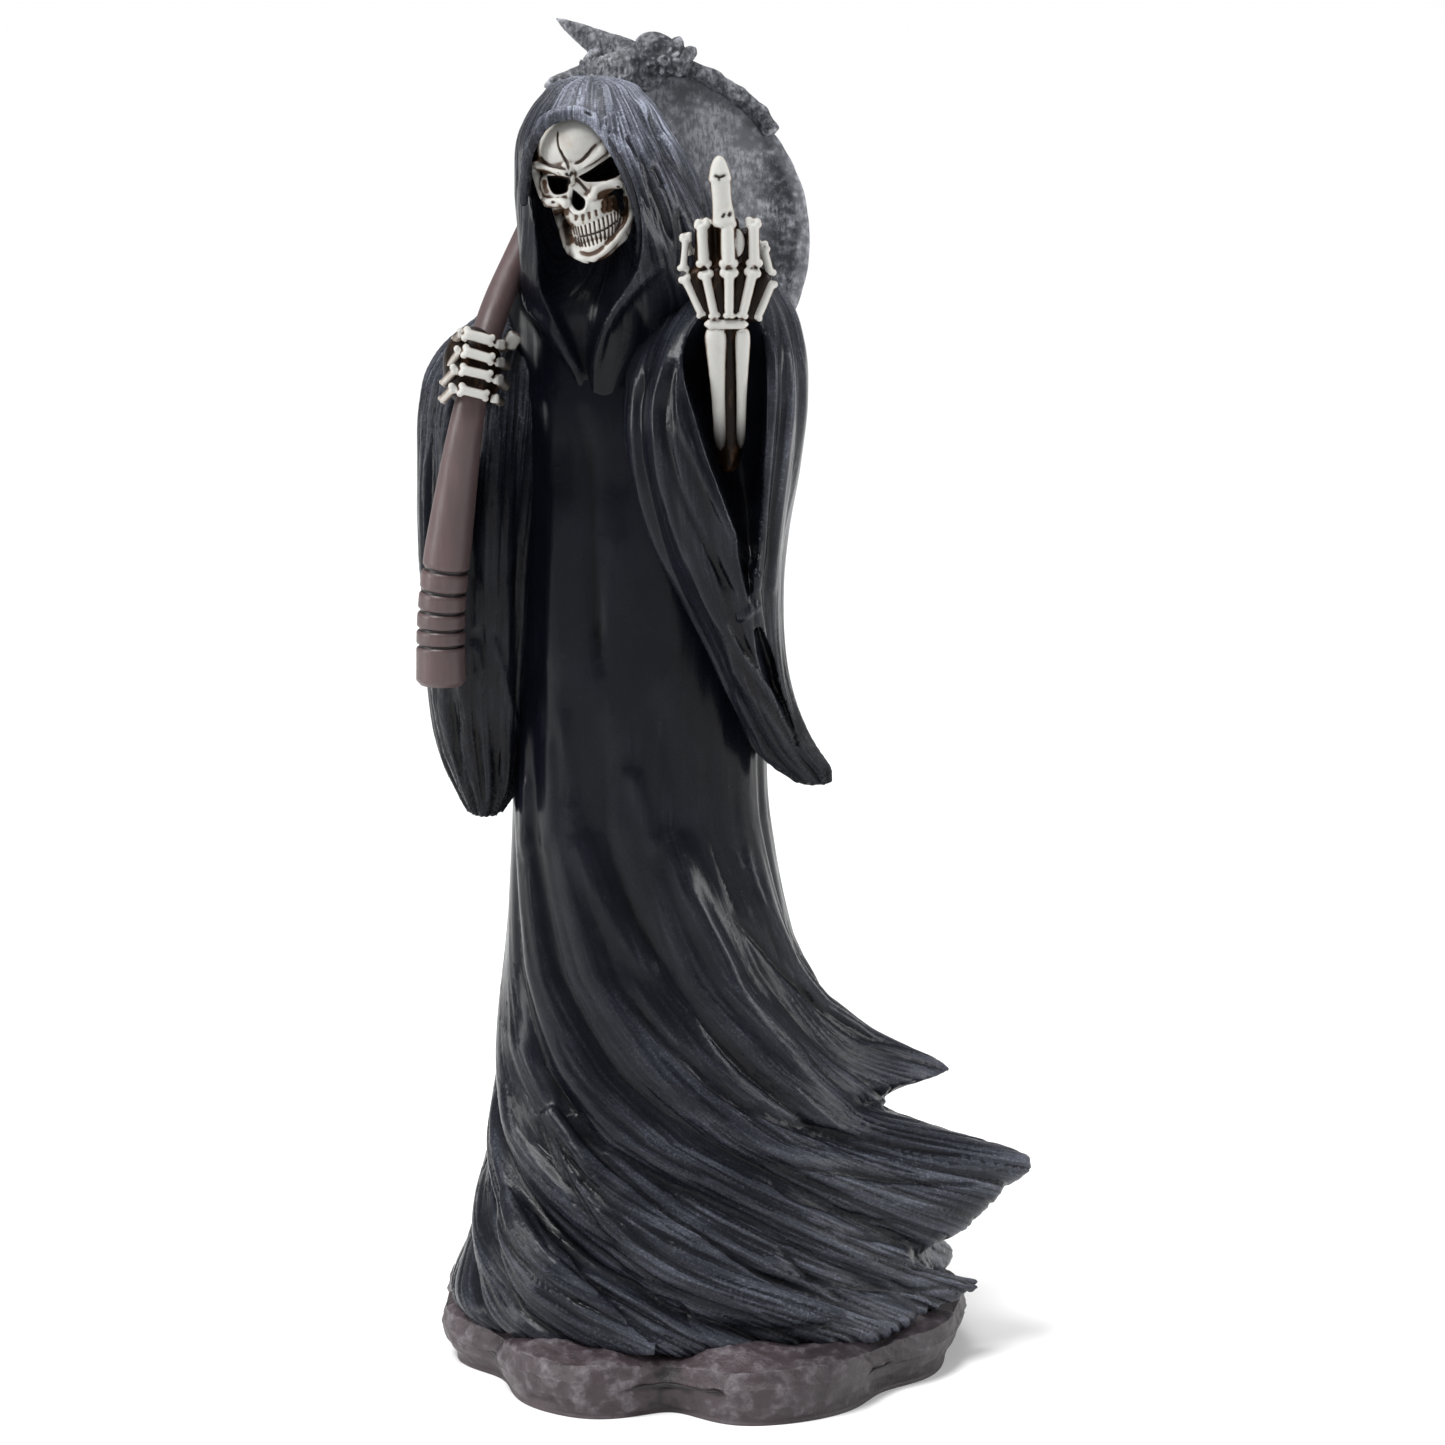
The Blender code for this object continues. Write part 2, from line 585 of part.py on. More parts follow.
def skull_meshes(collection, cutters):
    """The skull, set in the hood and looking to its right."""
    whole = fuse(joined(skull_solids(), collection, "skull"), 0.35, 1)
    skull = cut(whole, skull_hollows(), collection, cutters, "skull")
    skull.transform(Matrix.Translation(SKULL_PLACE) @ SKULL_TURN.to_matrix().to_4x4())
    return [skull]


def raised_hand_meshes():
    """The raised hand seen from its back, all bones, with its forearm in the sleeve."""
    parts = [bone_mesh(*row) for row in METACARPALS + FINGERS + FOLDED + FOREARM]
    parts += [rod_mesh(a, b, lambda t, r=r, swell=swell: r + swell * t**2) for a, b, r, swell in UPRIGHT]
    parts.append(ball_mesh((6.0, -44.4, 248), (8.8, 4.2, 10)))
    parts.append(plain_rod(*CARPALS))
    parts.append(rod_mesh((6.4, -43, 241), (6.4, -32, 206), lambda t: 3.0 + 0 * t))
    return parts


def grip_hand_meshes():
    """The hand that holds the shaft: four fingers round its front and the thumb beside it."""
    parts = [bone_mesh(*row) for row in GRIP_KNUCKLES + GRIP_FINGERS + GRIP_TIPS]
    parts.append(plain_rod(*GRIP_THUMB))
    parts.append(ball_mesh((-49, -24.5, 226.5), (6.5, 6.5, 9)))
    return parts


def shaft_mesh():
    """The shaft: thick and ringed at its butt, thinner through the hand."""
    share = np.linspace(0, 1, len(SHAFT))
    length = sum(math.dist(a, b) for a, b in zip(SHAFT, SHAFT[1:]))
    thick, thin = BUTT_RADIUS / MM, SHAFT_RADIUS / MM
    cap = 10.3

    def place(t, angle):
        centre = curve_through(SHAFT, share, t)
        ahead = curve_through(SHAFT, share, np.clip(t + 0.01, 0, 1))
        behind = curve_through(SHAFT, share, np.clip(t - 0.01, 0, 1))
        along = ahead - behind
        along = along / np.linalg.norm(along, axis=1, keepdims=True)
        side = np.cross(along, (0.0, 1.0, 0.0))
        side = side / np.linalg.norm(side, axis=1, keepdims=True)
        depth = np.cross(along, side)
        run = t * length
        r = np.interp(run, (0, 1.2, 30, 62, length), (thick - 0.9, thick, thick * 0.93, thin, thin * 0.9))
        rings = RING_PITCH / MM * np.arange(RING_COUNT) + cap
        for ring in rings:
            r = r - RING_DEPTH / MM * np.exp(-(((run - ring) / 0.55) ** 2))
        r = r[:, None]
        return centre + r * (np.cos(angle)[:, None] * side + np.sin(angle)[:, None] * depth)

    return tube_mesh(20, 200, place)


def blade_mesh():
    """The crescent blade behind the hood: wide below the socket, with its point at the shoulder."""
    centre = np.array(BLADE_CENTRE)
    outer = BLADE_SWEEP_RADIUS / MM
    widest, thick = BLADE_WIDTH / MM, BLADE_THICKNESS / MM / 2

    def place(t, angle):
        turn = BLADE_FROM + (BLADE_TO - BLADE_FROM) * t
        width = widest * np.interp(t, (0, 0.15, 0.5, 0.75, 0.92, 1), (0.45, 0.7, 1.0, 0.85, 0.4, 0.06))
        across = np.cos(angle)
        reach = outer - width / 2 + across * width / 2
        bulge = thick * np.sin(angle) * (0.45 + 0.55 * np.interp(t, (0, 0.8, 1), (1, 0.8, 0.2)))
        x = centre[0] + reach * np.cos(turn)
        z = centre[2] + reach * np.sin(turn)
        y = centre[1] + bulge - 12.0 * np.clip(t - 0.35, 0, 1)
        return np.stack([x, y, z], axis=1)

    return tube_mesh(24, 60, place)


def scythe_head_meshes():
    """What is at the top of the shaft: the spike, the socket, its crown and the ridge on the blade."""
    spike_root = np.array((-15.8, 18.5, 290.8))
    direction = np.array((-15.6, 1.5, 9.0))
    tip = spike_root + direction / np.linalg.norm(direction) * SPIKE_LENGTH / MM
    parts = [
        rod_mesh(spike_root, tip, lambda t: 4.9 * (1 - t) ** 0.9 + 0.5, 16, 14, flat=0.62),
        ball_mesh((-12.5, 18.5, 289.5), (6, 5, 5.6)),
        rod_mesh((-34.0, 12, 285.6), (-16, 16, 290), lambda t: 1.5 + 3.1 * t, flat=0.8),
        rod_mesh((-25.5, 15, 287), (-22.5, 18, 294.5), lambda t: 3.0 - 1.6 * t, flat=0.7),
    ]
    parts.append(ball_mesh((-9.5, 16, 292.6), (5.2, 3.6, 4.2)))
    parts.append(ball_mesh((-10.6, 16, 294.6), (4.0, 3.0, 2.9)))
    ridge = ((-12, 289), (-4, 289.6), (2.5, 287.2), (8.5, 283.2), (13.2, 279.4), (15.6, 275.6))
    ridge = [(x, 17, z) for x, z in ridge]
    for a, b in zip(ridge, ridge[1:]):
        parts.append(bone_mesh(a, b, 4.0, 5.2, 5.2))
    for lean, reach in ((-0.55, 6.2), (-0.1, 7.8), (0.35, 7.4), (0.8, 6.6)):
        root = (-8 + 3 * lean, 15.5, 289.5)
        end = (root[0] + reach * math.sin(lean), 15, root[2] + reach * math.cos(lean))
        parts.append(rod_mesh(root, end, lambda t: TUFT_RADIUS * (1 - t / 2)))
    return parts


def base_mesh():
    """The rock: a low drum with clefts between its lobes and a rounded upper edge."""
    heights = np.array((-1.0, 0.0, 0.3, 0.62, 0.9, 1.08, 1.12))
    widths = np.array((0.905, 0.91, 0.97, 1.0, 0.985, 0.87, 0.4))

    def place(t, angle):
        clefts = np.zeros_like(angle)
        for middle, depth, spread in CLEFTS:
            off = (np.degrees(angle) - middle + 180) % 360 - 180
            clefts += depth * np.exp(-((off / spread) ** 2))
        width = np.interp(t, np.linspace(0, 1, len(widths)), widths)
        height = np.interp(t, np.linspace(0, 1, len(heights)), heights)
        front = 0.065 * np.clip(-np.sin(angle), 0, 1) ** 1.5
        r = BASE_RADIUS * (width + front * (1 - height.clip(0, 1))) * (1 - clefts)
        z = BASE_HEIGHT * height * (1 - 0.9 * clefts * (height > 0.5))
        return np.stack([r * np.cos(angle), r * np.sin(angle), z], axis=1)

    return tube_mesh(120, 24, place)


def fuse(obj, voxel, smoothing):
    """Fuses the object's overlapping shells into one skin and softens it."""
    remesh = obj.modifiers.new("fuse", "REMESH")
    remesh.mode = "VOXEL"
    remesh.voxel_size = voxel
    if smoothing:
        smooth = obj.modifiers.new("soften", "SMOOTH")
        smooth.factor = 0.5
        smooth.iterations = smoothing
    return applied(obj)


def resin_material(name, colour, roughness):
    """A painted resin finish."""
    material = bpy.data.materials.new(name)
    material.use_nodes = True
    shader = material.node_tree.nodes["Principled BSDF"]
    shader.inputs["Base Color"].default_value = (*colour, 1)
    shader.inputs["Roughness"].default_value = roughness
    shader.inputs["Metallic"].default_value = 0.0
    return material


def facet_weights(skin):
    """How far the facets may be merged at each vertex: least on the skull and the hands."""
    points = np.empty(len(skin.vertices) * 3)
    skin.vertices.foreach_get("co", points)
    points = points.reshape(-1, 3)
    weights = np.ones(len(points))
    for centre, radius, weight in FINE_PLACES:
        near = np.linalg.norm(points - np.array(at(*centre)), axis=1) < radius * MM
        weights[near] = weight
    return weights


def keep_largest(mesh):
    """Drops any shell inside the casting: it is solid."""
    bm = bmesh.new()
    bm.from_mesh(mesh)
    left = set(bm.verts)
    shells = []
    while left:
        shell = {left.pop()}
        edge = list(shell)
        while edge:
            vert = edge.pop()
            for link in vert.link_edges:
                other = link.other_vert(vert)
                if other not in shell:
                    shell.add(other)
                    edge.append(other)
        left -= shell
        shells.append(shell)
    shells.sort(key=len)
    for shell in shells[:-1]:
        bmesh.ops.delete(bm, geom=list(shell), context="VERTS")
    bm.to_mesh(mesh)
    bm.free()


def main():
    """Builds the figurine as one solid."""
    for old in list(bpy.data.objects):
        bpy.data.objects.remove(old)
    collection = bpy.data.collections.new("grim_reaper_figurine")
    cutters = bpy.data.collections.new("cutters")
    bpy.context.scene.collection.children.link(collection)
    bpy.context.scene.collection.children.link(cutters)

    figure = robe_meshes()
    figure += hood_meshes(collection, cutters)
    figure += sleeve_meshes(collection, cutters)
    figure += skull_meshes(collection, cutters)
    figure += raised_hand_meshes()
    figure += grip_hand_meshes()
    figure += [shaft_mesh(), blade_mesh()]
    figure += scythe_head_meshes()
    to_size = Matrix.Translation(at(0, 0, 0)) @ Matrix.Scale(MM, 4)
    for mesh in figure:
        mesh.transform(to_size)

    casting = joined(figure + [base_mesh()], collection, NAME)
    skin = fuse(casting, FUSE_VOXEL, 1)
    keep_largest(skin)
    carve(skin, CARVING)
    obj = bpy.data.objects.new(NAME, skin)
    collection.objects.link(obj)
    group = obj.vertex_groups.new(name="merge")
    weights = facet_weights(skin)
    for weight in np.unique(weights):
        group.add(np.nonzero(weights == weight)[0].tolist(), float(weight), "REPLACE")
    facets = obj.modifiers.new("facets", "DECIMATE")
    facets.ratio = TRIANGLES / (2 * len(skin.polygons))
    facets.vertex_group = "merge"
    facets.vertex_group_factor = MERGE_FACTOR
    faceted = applied(obj)
    bm = bmesh.new()
    bm.from_mesh(faceted)
    around = bm.verts[:] + bm.edges[:] + bm.faces[:]
    bmesh.ops.bisect_plane(bm, geom=around, plane_co=(0, 0, 0), plane_no=(0, 0, 1), clear_inner=True)
    bmesh.ops.holes_fill(bm, edges=[e for e in bm.edges if e.is_boundary], sides=0)
    bmesh.ops.triangulate(bm, faces=bm.faces)
    bm.to_mesh(faceted)
    bm.free()
    faceted.materials.append(resin_material("black_resin", (0.02, 0.02, 0.025), 0.4))
    final = bpy.data.objects.new(NAME, faceted)
    collection.objects.link(final)
    bpy.data.collections.remove(cutters)


main()
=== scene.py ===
"""Grim reaper figurine: the painted surface of the one-piece casting.

Lengths in the tables are millimetres on a master 300 mm tall, with +Z up and the figure facing -Y.
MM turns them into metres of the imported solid's own height.
"""

import math

import bmesh
import bpy
import numpy as np
from mathutils import Euler, Matrix, Vector, noise


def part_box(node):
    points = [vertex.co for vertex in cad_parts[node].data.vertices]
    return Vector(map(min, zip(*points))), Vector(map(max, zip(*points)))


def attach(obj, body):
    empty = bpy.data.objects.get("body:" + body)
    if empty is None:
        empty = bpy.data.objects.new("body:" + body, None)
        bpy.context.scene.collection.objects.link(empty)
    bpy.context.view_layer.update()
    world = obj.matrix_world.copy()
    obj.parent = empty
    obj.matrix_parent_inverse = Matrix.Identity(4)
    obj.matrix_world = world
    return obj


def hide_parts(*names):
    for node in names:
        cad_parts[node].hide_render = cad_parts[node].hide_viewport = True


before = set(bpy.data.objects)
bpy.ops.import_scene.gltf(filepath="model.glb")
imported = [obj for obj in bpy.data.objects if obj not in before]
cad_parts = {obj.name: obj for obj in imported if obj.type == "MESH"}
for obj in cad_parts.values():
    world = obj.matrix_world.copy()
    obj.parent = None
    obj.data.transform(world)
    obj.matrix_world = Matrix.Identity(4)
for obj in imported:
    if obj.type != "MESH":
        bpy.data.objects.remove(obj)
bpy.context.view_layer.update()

bl_info = {
    "name": "Reaper figurine",
    "version": (1, 0, 0),
    "blender": (4, 5, 0),
    "location": "3D View > Sidebar > Figurine",
    "description": "Builds the painted surface of a cast reaper figurine, piece by piece",
    "category": "Add Mesh",
}

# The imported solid, and the master that the tables belong to
NODE = "reaper_figurine"
BODY = "root"
MASTER_HEIGHT = 299.9
MM = (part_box(NODE)[1][2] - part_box(NODE)[0][2]) / MASTER_HEIGHT
# Carved skins stand a hair proud of the solid, so every piece is drawn in by these shares along x, y and z.
SHRINK = (0.9977, 0.9972, 0.9984)
BASE_RADIUS = 61.8
BASE_HEIGHT = 14.0
# The most triangles that each thinned piece keeps
TRIANGLES = {
    "robe": 180000,
    "hood": 100000,
    "raised_sleeve": 110000,
    "grip_sleeve": 80000,
    "skull": 150000,
    "raised_hand": 110000,
    "grip_hand": 60000,
    "scythe_head": 60000,
}
# Cell sizes that overlapping shells are fused with: coarse for cloth, finer for bone and metal
ROBE_CELL = 0.55
CLOTH_CELL = 0.42
WEB_CELL = 0.35
BONE_CELL = 0.30
FINE_CELL = 0.28
FACE_CELL = 0.19
# Radius of the round that cloth grain is laid on, and the reach at which its winding is measured
GRAIN_RADIUS = 34
WIND_REACH = 36
# How far forward the tools that cut the face begin
FACE_FRONT = -48

# Camera of the photograph: what it looks at in metres, how far off and how high, and its lens
CAMERA_AIM = (0.005, 0.0, 0.1443)
CAMERA_DISTANCE = 1.0
CAMERA_ELEVATION = 10.0
CAMERA_LENS = 111.2

# Lights, in metres: where the key shines from, each soft box's place, power and width, and their aim
KEY_PLACE = (-0.45, -0.55, 1.5)
SOFT_BOXES = (
    ("left_box", (-0.95, -0.25, 0.45), 6.5, 0.28),
    ("right_box", (0.95, -0.10, 0.45), 6.5, 0.28),
    ("top_box", (-0.1, 0.25, 1.15), 5.0, 0.45),
)
LAMP_AIM = (0, 0, 0.14)
FLOOR_SIZE = 60

# Cloth bodies, top to bottom: height, left, right, front and back of each level
ROBE = (
    (250, -32, 4, -8, 12),
    (246, -40.5, 9, -14, 16),
    (240, -42.5, 12, -18, 18),
    (225, -43, 15, -22, 21),
    (200, -43, 16, -24, 22),
    (160, -42.6, 14.6, -25.5, 22),
    (122, -42.2, 15.2, -26.5, 23),
    (104, -42.8, 18.1, -28, 24),
    (90, -43.4, 22, -29.5, 25),
    (78, -44.2, 27, -31.5, 26),
    (57, -46.0, 37, -36, 29),
    (41, -48.2, 45, -40.5, 32),
    (24, -52.2, 50, -44.5, 36),
    (13, -53.8, 53, -47.5, 38),
    (9, -49, 49, -43, 35),
)
RAISED_SLEEVE = (
    (247, 6, 15, -16, 6),
    (244, -2, 16.4, -26, 10),
    (239, -8, 19.8, -37, 12),
    (232, -13, 22.0, -44, 14),
    (219, -16, 22.9, -46.5, 15),
    (204, -15, 21.3, -46.5, 15),
    (189, -10.7, 18.7, -44, 14),
    (176, -4, 17.6, -41, 12),
    (165, 1.5, 18, -37, 8),
    (156, 5.5, 19.4, -33.5, 3),
    (148, 9.5, 22, -29, -2),
    (141.5, 13, 25.4, -25, -6),
    (137, 17.5, 28.2, -21, -9),
    (133.6, 22.5, 28.4, -18, -12),
)
# What is cut out of the raised sleeve, in levels like those of the bodies
RAISED_OPENING = (
    (262, -2, 14, -70, -33),
    (240, -1.8, 14.4, -70, -31),
    (232, -3.6, 14.6, -70, -28),
    (215, 0, 14.8, -70, -27),
    (195, 6.8, 13.8, -70, -30),
    (184, 9, 12.5, -70, -35),
    (178, 10.3, 11.3, -70, -40),
)
LOWER_FOLD = (
    (172, 11.5, 13.5, -70, -33),
    (166, 12, 16.5, -70, -28),
    (156, 15.5, 18.4, -70, -24),
    (147, 19.5, 21.5, -70, -22),
    (143, 21.5, 22.5, -70, -21),
)
GRIP_SLEEVE = (
    (240, -43, -34, -3, 8),
    (235, -49, -33, -8, 12),
    (230, -55.4, -33, -13, 15),
    (225, -59, -33, -17, 16),
    (217, -61.2, -33, -20, 16),
    (205, -62, -34, -22, 16),
    (182, -62, -36, -23.5, 15),
    (168, -60.8, -37, -23.5, 13),
    (155, -60, -38, -22.5, 11),
    (140, -57.6, -39, -18, 9),
    (132, -54.6, -41, -16, 6),
    (125.5, -51, -45, -13, 2),
)
# Two points that hang from the lower end of the sleeve behind the shaft, each from its root to its end
GRIP_TABS = (((-56, -6, 150), (-50.6, -8, 124.6)), ((-48, -10, 150), (-43.5, -12, 129)))
HOOD = (
    (288.4, -27, -20, -14, -6),
    (287.2, -31, -15.5, -21, 2),
    (284.5, -34.2, -12, -30, 8),
    (277, -38.9, -6.6, -38, 14),
    (266, -39.4, -0.4, -41, 17),
    (255, -38.8, 4.2, -40, 19),
    (247, -38.8, 6.5, -36, 19),
    (240, -39, 8.5, -31, 19),
    (232, -36.5, 5, -27, 18),
    (225, -33, -4, -23.4, 12),
    (216, -29, -14, -20.5, 4),
)
# What is cut out of the hood
FACE_OPENING = (
    (281.2, -28.8, -23.2, -70, -29),
    (279.8, -31.6, -21.6, -70, -25),
    (276.5, -34.4, -18.8, -70, -19),
    (273, -35.8, -16.6, -70, -16),
    (266, -36.5, -13.6, -70, -14),
    (258, -36.5, -12.0, -70, -14),
    (250, -36.4, -12.6, -70, -16),
    (244, -37.1, -15.1, -70, -18),
    (239, -36.0, -17.8, -70, -20),
    (233.4, -32.6, -19.8, -70, -20),
    (228, -29.3, -21.4, -70, -20.5),
    (222.8, -26.2, -22.6, -70, -22),
    (219, -24.8, -23.2, -70, -24),
)

# Points of the hem that blow to the right: angle in degrees, half width, lean, heights and reaches
LOBES = (
    (7, 17, 0.05, (57, 61, 63, 65, 68, 73, 81, 94), (2, 13, 22.5, 21, 15.5, 9, 3, 0)),
    (-8, 19, -0.05, (24, 27, 31.5, 36, 40, 44, 47, 49.5, 52, 55, 59),
     (0, 3, 11.5, 18.5, 25.5, 30, 31, 25.5, 18, 9, 0)),
    (32, 20, 0.10, (12, 16, 24, 34, 50), (8, 8.5, 6.5, 2.5, 0)),
)
# Flaps of the hem over the rock: spine from root to tip, half height and half thickness
FLAPS = (
    (((2, -30, 48), (20, -36, 27), (38, -27, 16.5), (62.5, -15, 18.4)), 9, 5),
    (((-34, -28, 62), (-20, -41, 38), (0, -49, 22), (32, -45, 20.8)), 8, 4.5),
    (((-42, -16, 46), (-44, -33, 33), (-32, -44, 20), (-9.7, -51.5, 14.2)), 8, 4.5),
)

# Carving, as the camera sees it on the upright plane at CARVING_DEPTH: (x, z) along each stroke,
# its half width, and how far it stands out, or below 0 how deep it is cut
CARVING_DEPTH = -30.0
ROBE_CARVING = (
    (((-24.8, 219.3), (-23.3, 205.7), (-23.0, 189.6), (-22.6, 176.7), (-21.3, 159)), 1.6, -0.7),
    (((-30.0, 207.3), (-30.5, 189.6), (-31.9, 173.5), (-32.8, 158.8)), 3.0, 0.7),
    (((-18.5, 200.9), (-18.2, 184.8), (-19.8, 168.6), (-20.5, 157.2), (-19.2, 140.8)), 2.5, 0.6),
    (((-38.7, 119.4), (-37.8, 129.3), (-38.1, 138.4)), 1.5, 0.6),
    (((-33.8, 119.4), (-32.9, 132.6), (-33.2, 149.0)), 1.5, 0.5),
    (((-27.3, 124.4), (-28.8, 140.8), (-29.6, 153.1)), 1.5, 0.5),
    (((-8.6, 157.2), (-7.1, 144.9), (-4.7, 132.6), (-3.1, 119.4)), 2.2, -0.5),
    (((-15.1, 140.8), (-12.7, 131.0), (-9.5, 119.4)), 1.8, 0.6),
    (((-36.3, 224.9), (-37.1, 220.9), (-41.5, 213.7), (-42.6, 209.7), (-44.9, 197.7),
     (-45.5, 184.8)), 0.9, 0.9),
)
SKIRT_FOLDS = (
    (((-28.8, 133.0), (-26.0, 120.5), (-20.4, 108.9), (-13.8, 98.2), (-4.3, 88.4), (5.2, 76.7)), 2.4, 0.9),
    (((-8.0, 126.3), (-2.4, 111.8), (5.2, 98.2), (10.9, 86.5), (21.5, 76.7), (43.5, 62.9),
     (62.7, 54)), 2.6, 1.2),
    (((9.0, 122.4), (14.7, 107.9), (22.3, 95.3), (31.9, 84.5), (43.4, 76.7), (54.4, 72.7)), 2.0, 0.9),
    (((-15.8, 78.6), (-6.2, 66.8), (5.2, 59.0), (17.7, 53.0), (34.0, 51.0), (72.3, 51.0)), 2.4, 1.1),
    (((-43.4, 84.5), (-36.8, 70.8), (-30.2, 59.0), (-21.6, 43.1)), 2.0, 0.8),
    (((-45.4, 68.8), (-40.7, 57.0), (-33.1, 46.1), (-18.8, 33.2), (-4.4, 24.2), (11.0, 20.2)), 2.2, 1.0),
    (((-30.1, 64.9), (-21.6, 56.0), (-12.0, 45.1), (-0.5, 36.1), (11.0, 29.2), (32.2, 18.2)), 2.0, 0.9),
    (((-8.2, 46.1), (5.2, 38.1), (19.7, 33.2), (34.1, 26.2), (60.1, 23.2)), 2.0, 0.9),
    (((-46.5, 49.1), (-40.9, 38.1), (-30.4, 26.2), (-18.9, 15.2), (-10.2, 7.1)), 1.8, 0.8),
    (((-18, 92), (-9, 80), (2, 70), (16, 61), (34, 56)), 1.6, -0.9),
    (((-36, 62), (-27, 49), (-14, 37), (0, 29)), 1.5, -0.9),
)
HEM_CRACKS = (
    (((7.1, 106.9), (12.9, 100.5), (19.2, 93.1), (27.3, 85.8), (37.2, 79.3), (46.2, 75.6)), 0.7, -0.9),
    (((19.7, 94.1), (26.4, 85.8), (33.6, 80.2), (39.9, 77.5)), 0.6, -0.6),
    (((-4.1, 76.6), (3.1, 67.3), (13.9, 61.7), (26.5, 57.1), (37.3, 55.7)), 0.7, -0.6),
    (((31.9, 71.0), (41.8, 65.4), (55.3, 58.9), (69.8, 54.3)), 0.7, -0.8),
    (((8.5, 66.4), (19.3, 60.8), (32.8, 57.1), (46.4, 53.8), (64.4, 52.0)), 0.7, -0.8),
    (((15.7, 50.6), (28.4, 48.7), (46.4, 46.4), (62.7, 45.9)), 0.7, -0.8),
    (((13.0, 48.7), (22.1, 42.2), (35.6, 38.4), (44.7, 36.5)), 0.7, -0.8),
    (((24.8, 36.5), (37.5, 33.7), (51.1, 30.9)), 0.7, -0.8),
    (((16.7, 31.9), (24.8, 24.3), (32.1, 19.6)), 0.7, -0.8),
    (((17.6, 28.1), (28.5, 23.4), (42.1, 21.5), (58.4, 22.5)), 0.7, -0.7),
    (((-41.3, 30.0), (-32.3, 22.5), (-21.4, 15.9), (-11.5, 10.2)), 0.7, -0.8),
    (((-35.8, 32.8), (-25.9, 24.3), (-15.1, 17.7), (-6.0, 12.1)), 0.7, -0.8),
    (((-18.7, 25.3), (-11.4, 20.6), (-4.2, 17.7), (-2.4, 14.0)), 0.7, -0.8),
    (((-43.8, 48.7), (-38.5, 39.4), (-32.2, 28.1)), 0.7, -0.6),
)
HOOD_CARVING = (
    (((-37.2, 259.4), (-37.6, 249.0), (-38.6, 242.4), (-32.1, 235.2), (-26.3, 226.0),
     (-24.6, 219)), 1.0, 0.9),
    (((-7.2, 250.3), (-11.8, 246.3), (-16.4, 241.1), (-19.7, 235.9), (-21.7, 230.0),
     (-23.0, 217.4)), 1.1, 1.0),
    (((-17.5, 277.5), (-13.6, 274.3), (-11.4, 269.8), (-10.1, 265.2), (-7.8, 259.4),
     (-6.2, 253.5)), 0.9, -0.7),
    (((-15.4, 276.7), (-14.4, 275.2), (-13.5, 273.4), (-12.9, 270.9)), 0.45, -1.0),
    (((-11.3, 281.4), (-9.3, 279.2), (-7.8, 276.2)), 0.7, -0.8),
    (((-20.7, 287.5), (-19.5, 284.6), (-19.3, 279.5), (-19.4, 277.0)), 0.9, 0.6),
    (((-13.6, 285.9), (-7.1, 278.8), (-1.9, 268.5), (1.3, 262.0)), 1.4, 0.8),
    (((-24.4, 281.8), (-23.4, 281.4), (-22.6, 280.8)), 0.45, -0.9),
    (((-13.4, 284.6), (-12.1, 282.1), (-10.8, 278.3), (-9.5, 274.4), (-8.0, 270.3)), 0.8, 0.7),
    (((-10.8, 280.8), (-9.3, 277.0), (-7.5, 273.9), (-5.5, 268)), 0.8, -0.9),
    (((-10.3, 270.1), (-8.8, 268.3), (-7.5, 265.2)), 0.7, -0.7),
    (((-35.4, 231.3), (-36.2, 224.7), (-40.8, 213.5)), 1.0, 0.6),
    (((-4.5, 262), (-3.2, 254), (-3.8, 246)), 1.1, -0.9),
    (((-1.2, 258), (0.5, 251), (0.2, 245)), 1.1, 0.7),
)
SLEEVE_CARVING = (
    (
        ((-8.4, 235.2), (-13.9, 223.3), (-14.9, 213.7), (-13.9, 204.1), (-9.0, 184.0),
         (-0.2, 161.7), (10.3, 142.5)),
        1.2,
        0.9,
    ),
    (
        ((-6.9, 234.4), (-12.1, 222.5), (-12.9, 213.7), (-11.7, 203.3), (-6.2, 183.2),
         (4.2, 161.3), (11.5, 150.7)),
        0.9,
        -0.7,
    ),
    (
        ((-5.7, 233.6), (-9.7, 220.1), (-9.3, 210.5), (-7.3, 199.3), (1.0, 177.5),
         (13.9, 158.0), (20.3, 149.8)),
        1.1,
        0.8,
    ),
    (((-4.9, 229.7), (-7.5, 216.9), (-6.1, 207.3), (-2.9, 197.7), (5.0, 181.6), (8.7, 175.9)), 0.9, -0.6),
    (((-4.3, 231.2), (-4.5, 221.7), (-3.3, 213.7), (3.4, 198.5), (11.4, 183.6), (13.1, 178.3)), 0.9, 0.9),
    (((14.2, 235.2), (15.8, 229.7), (15.8, 219.3), (14.6, 205.7), (13.8, 191.2), (13.2, 179.9)), 0.9, 0.8),
    (((16.8, 232.8), (17.8, 221.7), (17.0, 208.9), (15.4, 194.5), (14.7, 183.2)), 0.7, -0.5),
    (((17.7, 236.8), (19.3, 229.7), (19.8, 220.1), (18.6, 208.9), (15.9, 183.2), (15.5, 176.7)), 1.0, 0.8),
    (((21.3, 232.0), (22.5, 224.9), (22.2, 213.7), (19.0, 189.6), (18.3, 176.7), (21.9, 154.7),
     (24.4, 144.9)), 0.9, 0.6),
    (((7.9, 170.2), (11.5, 163.7), (16.3, 157.2), (21.2, 149.8), (26.0, 141.6)), 0.9, -0.7),
    (((5.0, 165.3), (10.7, 156.4), (16.3, 149.0), (22.8, 140.0)), 0.9, 0.6),
    (((7.5, 147.8), (12.3, 144.1), (18.8, 140.0), (25.2, 136.7)), 1.0, 0.5),
    (((13.5, 176.3), (9.9, 173.5), (7.9, 173.0)), 1.0, 0.7),
)
